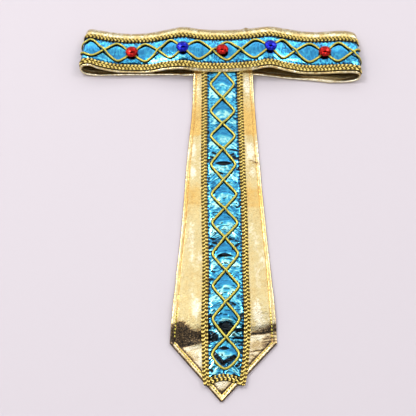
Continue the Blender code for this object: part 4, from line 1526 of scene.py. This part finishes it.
def make_panel_foil(finish):
    """Wrinkled foil over a flat underside, its lower end arched along the braid."""
    y = np.linspace(PANEL_TRIM_TOP_Y, ARCH_BRAID_Y, 790)
    share = np.linspace(-1.0, 1.0, 74)
    row = stripe_row(y)
    half = row[:, 1] - BRAID_WIDTH / 2.0 + 0.5
    across = share[None, :] * half[:, None]
    places = panel_places(y)
    edge = float(half.mean()) - FOIL_INSET
    down = np.mod(places, 1.0)[:, None] - 0.0016 * across * across
    # The lower part of each diamond, where pale painted highlight goes
    lit = smooth_step(*LIT_START, down) * smooth_step(*LIT_END, down)
    relief, shade = foil_relief(
        -y, across, -edge, edge, places, PANEL_LATTICE_SWING, PANEL_SHARPNESS, 31, 0.5, lit, 1.0,
    )
    relief = relief * (1.0 - 0.75 * smooth_step(*SMOOTH_ABOVE_Y, y))[:, None]
    stations = (PANEL_TRIM_TOP_Y - y)[:, None]
    shade = shade * painted_edge_shade(stations, PANEL_PLAIT_LENGTH, 0.25, across + half[:, None])
    shade = shade * painted_edge_shade(stations, PANEL_PLAIT_LENGTH, 0.75, half[:, None] - across)
    x = row[:, :1] + across
    grid_y = np.repeat(y[:, None], len(share), axis=1)
    ragged = 0.3 * noise(x / 1.3, grid_y / 1.3, 83)
    # Ovals of painted highlight
    for middle_x, middle_y, half_x, half_y, rise in FOIL_PAINTED_HIGHLIGHTS:
        far = oval_distance(x, grid_y, middle_x, middle_y, half_x, half_y) + ragged
        shade = shade * (1.0 + rise * (1.0 - smooth_step(0.5, 1.1, far)))
    # Ovals of painted shade
    shade = shade * patches(x, grid_y, FOIL_PAINTED_SHADE, 81)
    # Folds drawn as dashes: painted black as shade, with a slight dip
    for x0, y0, x1, y1, size in FOIL_DASHES:
        far, _ = segment_distance(x, grid_y, x0, y0, x1, y1)
        mark = 1.0 - smooth_step(0.45 * size, 0.85 * size, far)
        shade = shade * (1.0 - 0.96 * mark)
        relief = relief - 0.08 * mark
    # Folds drawn as arcs: painted black as shade, with a low ridge at the crest
    for middle_x, middle_y, half_length, bow, thickness in FOIL_ARCS:
        t = np.clip((x - middle_x) / half_length, -1.0, 1.0)
        crest = middle_y + bow * (1.0 - t * t)
        room = 0.5 * thickness * (1.0 - t * t) + 1e-6
        low = crest - 2.0 * room
        mark = smooth_step(-0.3, 0.2, grid_y - low) * smooth_step(0.3, -0.2, grid_y - crest)
        mark = mark * (np.abs(x - middle_x) < half_length)
        shade = shade * (1.0 - 0.97 * mark)
        relief = relief + 0.3 * np.exp(-(((grid_y - crest) / 1.2) ** 2)) * (1.0 - t * t)
    end_shift = -ARCH_BRAID_DROP * share[None, :] ** 2 * smooth_step(ARCH_START_Y, ARCH_BRAID_Y, grid_y)
    height = PANEL_HALF + FOIL_SEAT + np.maximum(relief, -0.12) * smooth_step(*UNDER_BAND_Y, grid_y)
    top = panel_point(grid_y + end_shift, x, height)
    under_share = np.linspace(1.0, -1.0, 4)[None, :]
    under_x = row[:, :1] + under_share * half[:, None]
    drop = ARCH_BRAID_DROP * smooth_step(ARCH_START_Y, ARCH_BRAID_Y, y)[:, None]
    under_y = y[:, None] - drop * under_share ** 2
    under = panel_point(under_y, under_x, PANEL_HALF + FOIL_GAP)
    points = np.concatenate([top, under], axis=1)
    shade = np.concatenate([shade, np.ones(under.shape[:2])], axis=1)
    flat = points.reshape(-1, 3)
    groups = outward(flat, ring_groups(len(y), points.shape[1], False))
    piece = build_mesh("panel_foil_strip", flat, groups, finish, flat[:, :2] * MM, shade)
    ride(piece, "blue_foil", "panel_foil")


def make_panel_braids(finish):
    """Plaits down both sides of the stripe, and one along the parabola at its end."""
    stations = np.arange(0.0, PANEL_TRIM_TOP_Y - PANEL_BRAID_END_Y, BRAID_STEP)
    for name, side in (("panel_braid_left", -1.0), ("panel_braid_right", 1.0)):
        def place(s, across, height, side=side):
            y = PANEL_TRIM_TOP_Y - s
            row = stripe_row(y)
            return panel_point(y, row[..., 0] + side * row[..., 1] + across, PANEL_HALF + height)

        tubes = plait_tubes(stations, PANEL_PLAIT_LENGTH, place, 1.0, False, -side, PANEL_BRAID_HOLES)
        ride(rings_piece(name + "_plait", tubes, finish, False), "gold_braid", name)

    span = ARCH_HALF_SPAN
    middle = float(stripe_row(np.array([ARCH_BRAID_Y]))[0, 0])

    def arch_place(s, across, height):
        share = s / span - 1.0
        x = middle + share * span
        return panel_point(ARCH_BRAID_Y - ARCH_BRAID_DROP * share * share + across, x, PANEL_HALF + height)

    arch_stations = np.arange(0.0, 2.0 * span, BRAID_STEP)
    tubes = plait_tubes(arch_stations, PANEL_PLAIT_LENGTH, arch_place, 0.85, False, 1, ARCH_BRAID_HOLES)
    ride(rings_piece("panel_braid_arch_plait", tubes, finish, False), "gold_braid", "panel_braid_arch")


CORD_START = -0.09
CORD_END_GAP = 0.002
END_ROUNDING = 4.0
END_REACH = (6.0, 22.0)
PRESSED_ABOVE_Y = (126.0, 134.0)


def make_panel_cord(name, side, finish):
    """One cord of the panel's lattice, from under the band to the last vertex.

    Near that vertex its y follows a hyperbola, so that the two cords meet in a curve.
    """
    crossings = np.array(PANEL_CROSSINGS)
    numbers = np.arange(len(crossings))
    last = len(crossings) - 1
    places = np.concatenate([
        np.linspace(CORD_START, last - 0.3, 880), np.linspace(last - 0.295, last - CORD_END_GAP, 60),
    ])
    y = np.interp(places, numbers, crossings)
    y = np.where(places < 0.0, crossings[0] + places * (crossings[1] - crossings[0]), y)
    from_end = y - crossings[-1]
    turned = from_end + END_ROUNDING - np.hypot(from_end, END_ROUNDING)
    y = y - turned * (1.0 - smooth_step(*END_REACH, from_end))
    x = stripe_row(y)[:, 0] + side * PANEL_LATTICE_SWING * lattice_swing(places, PANEL_SHARPNESS)
    nearest = np.rint(places).astype(int)
    pitch = np.interp(places, numbers[:-1] + 0.5, -np.diff(crossings))
    distance = (places - nearest) * np.hypot(pitch, 2.0 * PANEL_LATTICE_SWING)
    press = 1.0 - 0.5 * smooth_step(*PRESSED_ABOVE_Y, y)
    over = (side < 0) & (nearest < last)
    base = PANEL_HALF + CORD_SEAT + CORD_HALF_HEIGHT * press
    base = base + np.where(over, hump(distance, CROSSING_RISE * press), 0.0)
    path = panel_point(y, x, base)
    normals = unit(panel_point(y, x, base + 1.0) - path)
    piece = rings_piece(name, [cord_tube(path, normals, press, False)], finish, False)
    ride(piece, "yellow_cord", name.replace("_rope", ""))


STITCH_PITCH = 3.0
STITCH_LENGTH = 2.1
STITCH_HALF_WIDTH = 0.62
STITCH_HALF_HEIGHT = 0.38
STITCH_SEAT = 0.42
STITCH_TOP_Y = -117.0
SLANT_STITCH_INSIDE = 1.1


def make_stitches(finish):
    """Rows of short bright stitches along the lower hems, where they stand proud."""
    left, right = [], []
    corner = panel_row(np.array([PANEL_CORNER_Y]))[0]
    y = np.arange(STITCH_TOP_Y, PANEL_CORNER_Y + 4.0, -STITCH_PITCH)
    line = hem_line(y) - 0.5
    edges = panel_row(y)
    left.append(np.stack([edges[:, 0] + line, y], 1))
    right.append(np.stack([edges[:, 1] - line, y], 1))
    for side, edge_x, rows in ((1.0, corner[0], left), (-1.0, corner[1], right)):
        tip_x = PANEL_TIP[0] - side * PANEL_TIP_HALF_WIDTH
        run = np.array([tip_x - edge_x, PANEL_TIP[1] - PANEL_CORNER_Y])
        length = float(np.hypot(*run))
        run = run / length
        inward = np.array([-run[1], run[0]]) * side
        along = np.arange(3.2, length - 4.0, STITCH_PITCH)
        start = np.array([edge_x, PANEL_CORNER_Y])
        rows.append(start + run * along[:, None] + inward * (HEM_LINES[1] - SLANT_STITCH_INSIDE))
    tubes = []
    for rows in left + right:
        ahead = unit(np.gradient(rows, axis=0))
        for (x, y), (dx, dy) in zip(rows.tolist(), ahead.tolist()):
            t = np.array([-1.0, -0.7, 0.0, 0.7, 1.0]) * STITCH_LENGTH / 2.0
            swell = np.array([0.05, 0.75, 1.0, 0.75, 0.05])
            path = panel_point(y + dy * t, x + dx * t, PANEL_HALF + STITCH_SEAT + 0.12 * swell)
            rings, _, height = tube_points(
                path, np.array([[0.0, 0.0, 1.0]]), STITCH_HALF_WIDTH * swell, STITCH_HALF_HEIGHT * swell, 6,
            )
            # Stitches painted darker on their undersides as shade
            tubes.append((rings, 0.8 + 0.2 * height))
    piece = rings_piece("panel_stitches", tubes, finish, False)
    ride(piece, "yellow_cord")


# Floor, light and camera

CAMERA_ELEVATION = math.radians(62.0)
CAMERA_DISTANCE = 830.0
CAMERA_AIM = (-12.5, -11.5, 0.0)
FOCAL_PIXELS = 893.0
PHOTO_PIXELS = 416.0
SENSOR = 36.0
FLOOR_HALF = 3.0
FLOOR_COLOUR = (0.575, 0.525, 0.565)
ROOM = [
    # degrees up from the far horizon, brightness
    (0.0, 0.50),
    (26.0, 0.60),
    (32.0, 2.20),
    (41.0, 2.20),
    (46.0, 1.00),
    (57.0, 1.00),
    (61.0, 1.25),
    (75.0, 1.25),
    (79.0, 0.06),
    (92.0, 0.06),
    (97.0, 0.60),
    (102.0, 2.30),
    (111.0, 2.30),
    (117.0, 0.80),
    (150.0, 0.55),
    (180.0, 0.50),
]
LIGHTS = [
    # name, place in metres, size, watts
    ("key", (-0.7, 0.5, 1.3), 0.45, 9.0),
    ("fill", (0.75, 0.65, 1.1), 0.35, 4.0),
]


def make_floor():
    """A plain pale square under the piece."""
    size = FLOOR_HALF
    corners = [(-size, -size, 0), (size, -size, 0), (size, size, 0), (-size, size, 0)]
    mesh = bpy.data.meshes.new("floor")
    mesh.from_pydata(corners, [], [(0, 1, 2, 3)])
    floor = bpy.data.objects.new("floor", mesh)
    bpy.context.scene.collection.objects.link(floor)
    made, _, shader = new_material("pale_floor", FLOOR_COLOUR, 0.0, 0.6)
    shader.inputs["Specular IOR Level"].default_value = 0.2
    mesh.materials.append(made)


def make_world():
    """A soft room whose brightness follows the table, by the angle up from the far side."""
    world = bpy.data.worlds.new("soft_room")
    bpy.context.scene.world = world
    world.use_nodes = True
    n = Nodes(world.node_tree)
    back = world.node_tree.nodes["Background"]
    place = n.add("ShaderNodeTexCoord")
    parts = n.add("ShaderNodeSeparateXYZ")
    n.join(place.outputs["Generated"], parts.inputs["Vector"])
    angle = n.math("ARCTAN2", parts.outputs["Z"], parts.outputs["Y"])
    share = n.math("DIVIDE", angle, math.pi)
    brightest = max(value for _, value in ROOM)
    stops = [(degrees / 180.0, (value / brightest,) * 3) for degrees, value in ROOM]
    n.join(colour_ramp(n, share, stops), back.inputs["Color"])
    back.inputs["Strength"].default_value = brightest


def make_light(name, place, size, watts):
    """A square light turned towards the middle of the piece."""
    data = bpy.data.lights.new(name, "AREA")
    data.size = size
    data.energy = watts
    light = bpy.data.objects.new(name, data)
    bpy.context.scene.collection.objects.link(light)
    light.location = place
    light.rotation_euler = (-Vector(place)).to_track_quat("-Z", "Y").to_euler()


def make_camera():
    """The photo's view: down on the piece from in front, at the angle named above."""
    aim = Vector(CAMERA_AIM) * MM
    back = Vector((0.0, -math.cos(CAMERA_ELEVATION), math.sin(CAMERA_ELEVATION)))
    data = bpy.data.cameras.new("camera")
    data.sensor_width = SENSOR
    data.lens = FOCAL_PIXELS / PHOTO_PIXELS * SENSOR
    camera = bpy.data.objects.new("camera", data)
    bpy.context.scene.collection.objects.link(camera)
    camera.location = aim + back * CAMERA_DISTANCE * MM
    camera.rotation_euler = (-back).to_track_quat("-Z", "Y").to_euler()
    bpy.context.scene.camera = camera


def main():
    """Camera, floor and light, then each piece in turn."""
    make_camera()
    make_floor()
    make_world()
    for name, place, size, watts in LIGHTS:
        make_light(name, place, size, watts)
    gold = gold_cloth()
    foil = blue_foil()
    braid = gold_braid()
    cord = yellow_cord()
    make_band(gold)
    make_band_foil(foil)
    make_band_braid("band_braid_low_plait", "band_braid_low", BAND_BRAID_LOW_V, 1, LOW_BRAID_HOLES, braid)
    make_band_braid("band_braid_top_plait", "band_braid_top", BAND_BRAID_TOP_V, -1, TOP_BRAID_HOLES, braid)
    make_band_cord("band_cord_a_rope", -1.0, cord)
    make_band_cord("band_cord_b_rope", 1.0, cord)
    finishes = {
        "red": stone_finish("red_stone", (0.50, 0.008, 0.004)),
        "blue": stone_finish("blue_stone", (0.008, 0.012, 0.48)),
    }
    for name, x, v in STONES:
        make_stone(name, x, v, finishes[name.split("_")[1]])
    make_panel(gold)
    make_panel_foil(foil)
    make_panel_braids(braid)
    make_panel_cord("panel_cord_a_rope", 1.0, cord)
    make_panel_cord("panel_cord_b_rope", -1.0, cord)
    make_stitches(cord)
    bpy.context.scene.view_settings.view_transform = "Standard"


main()
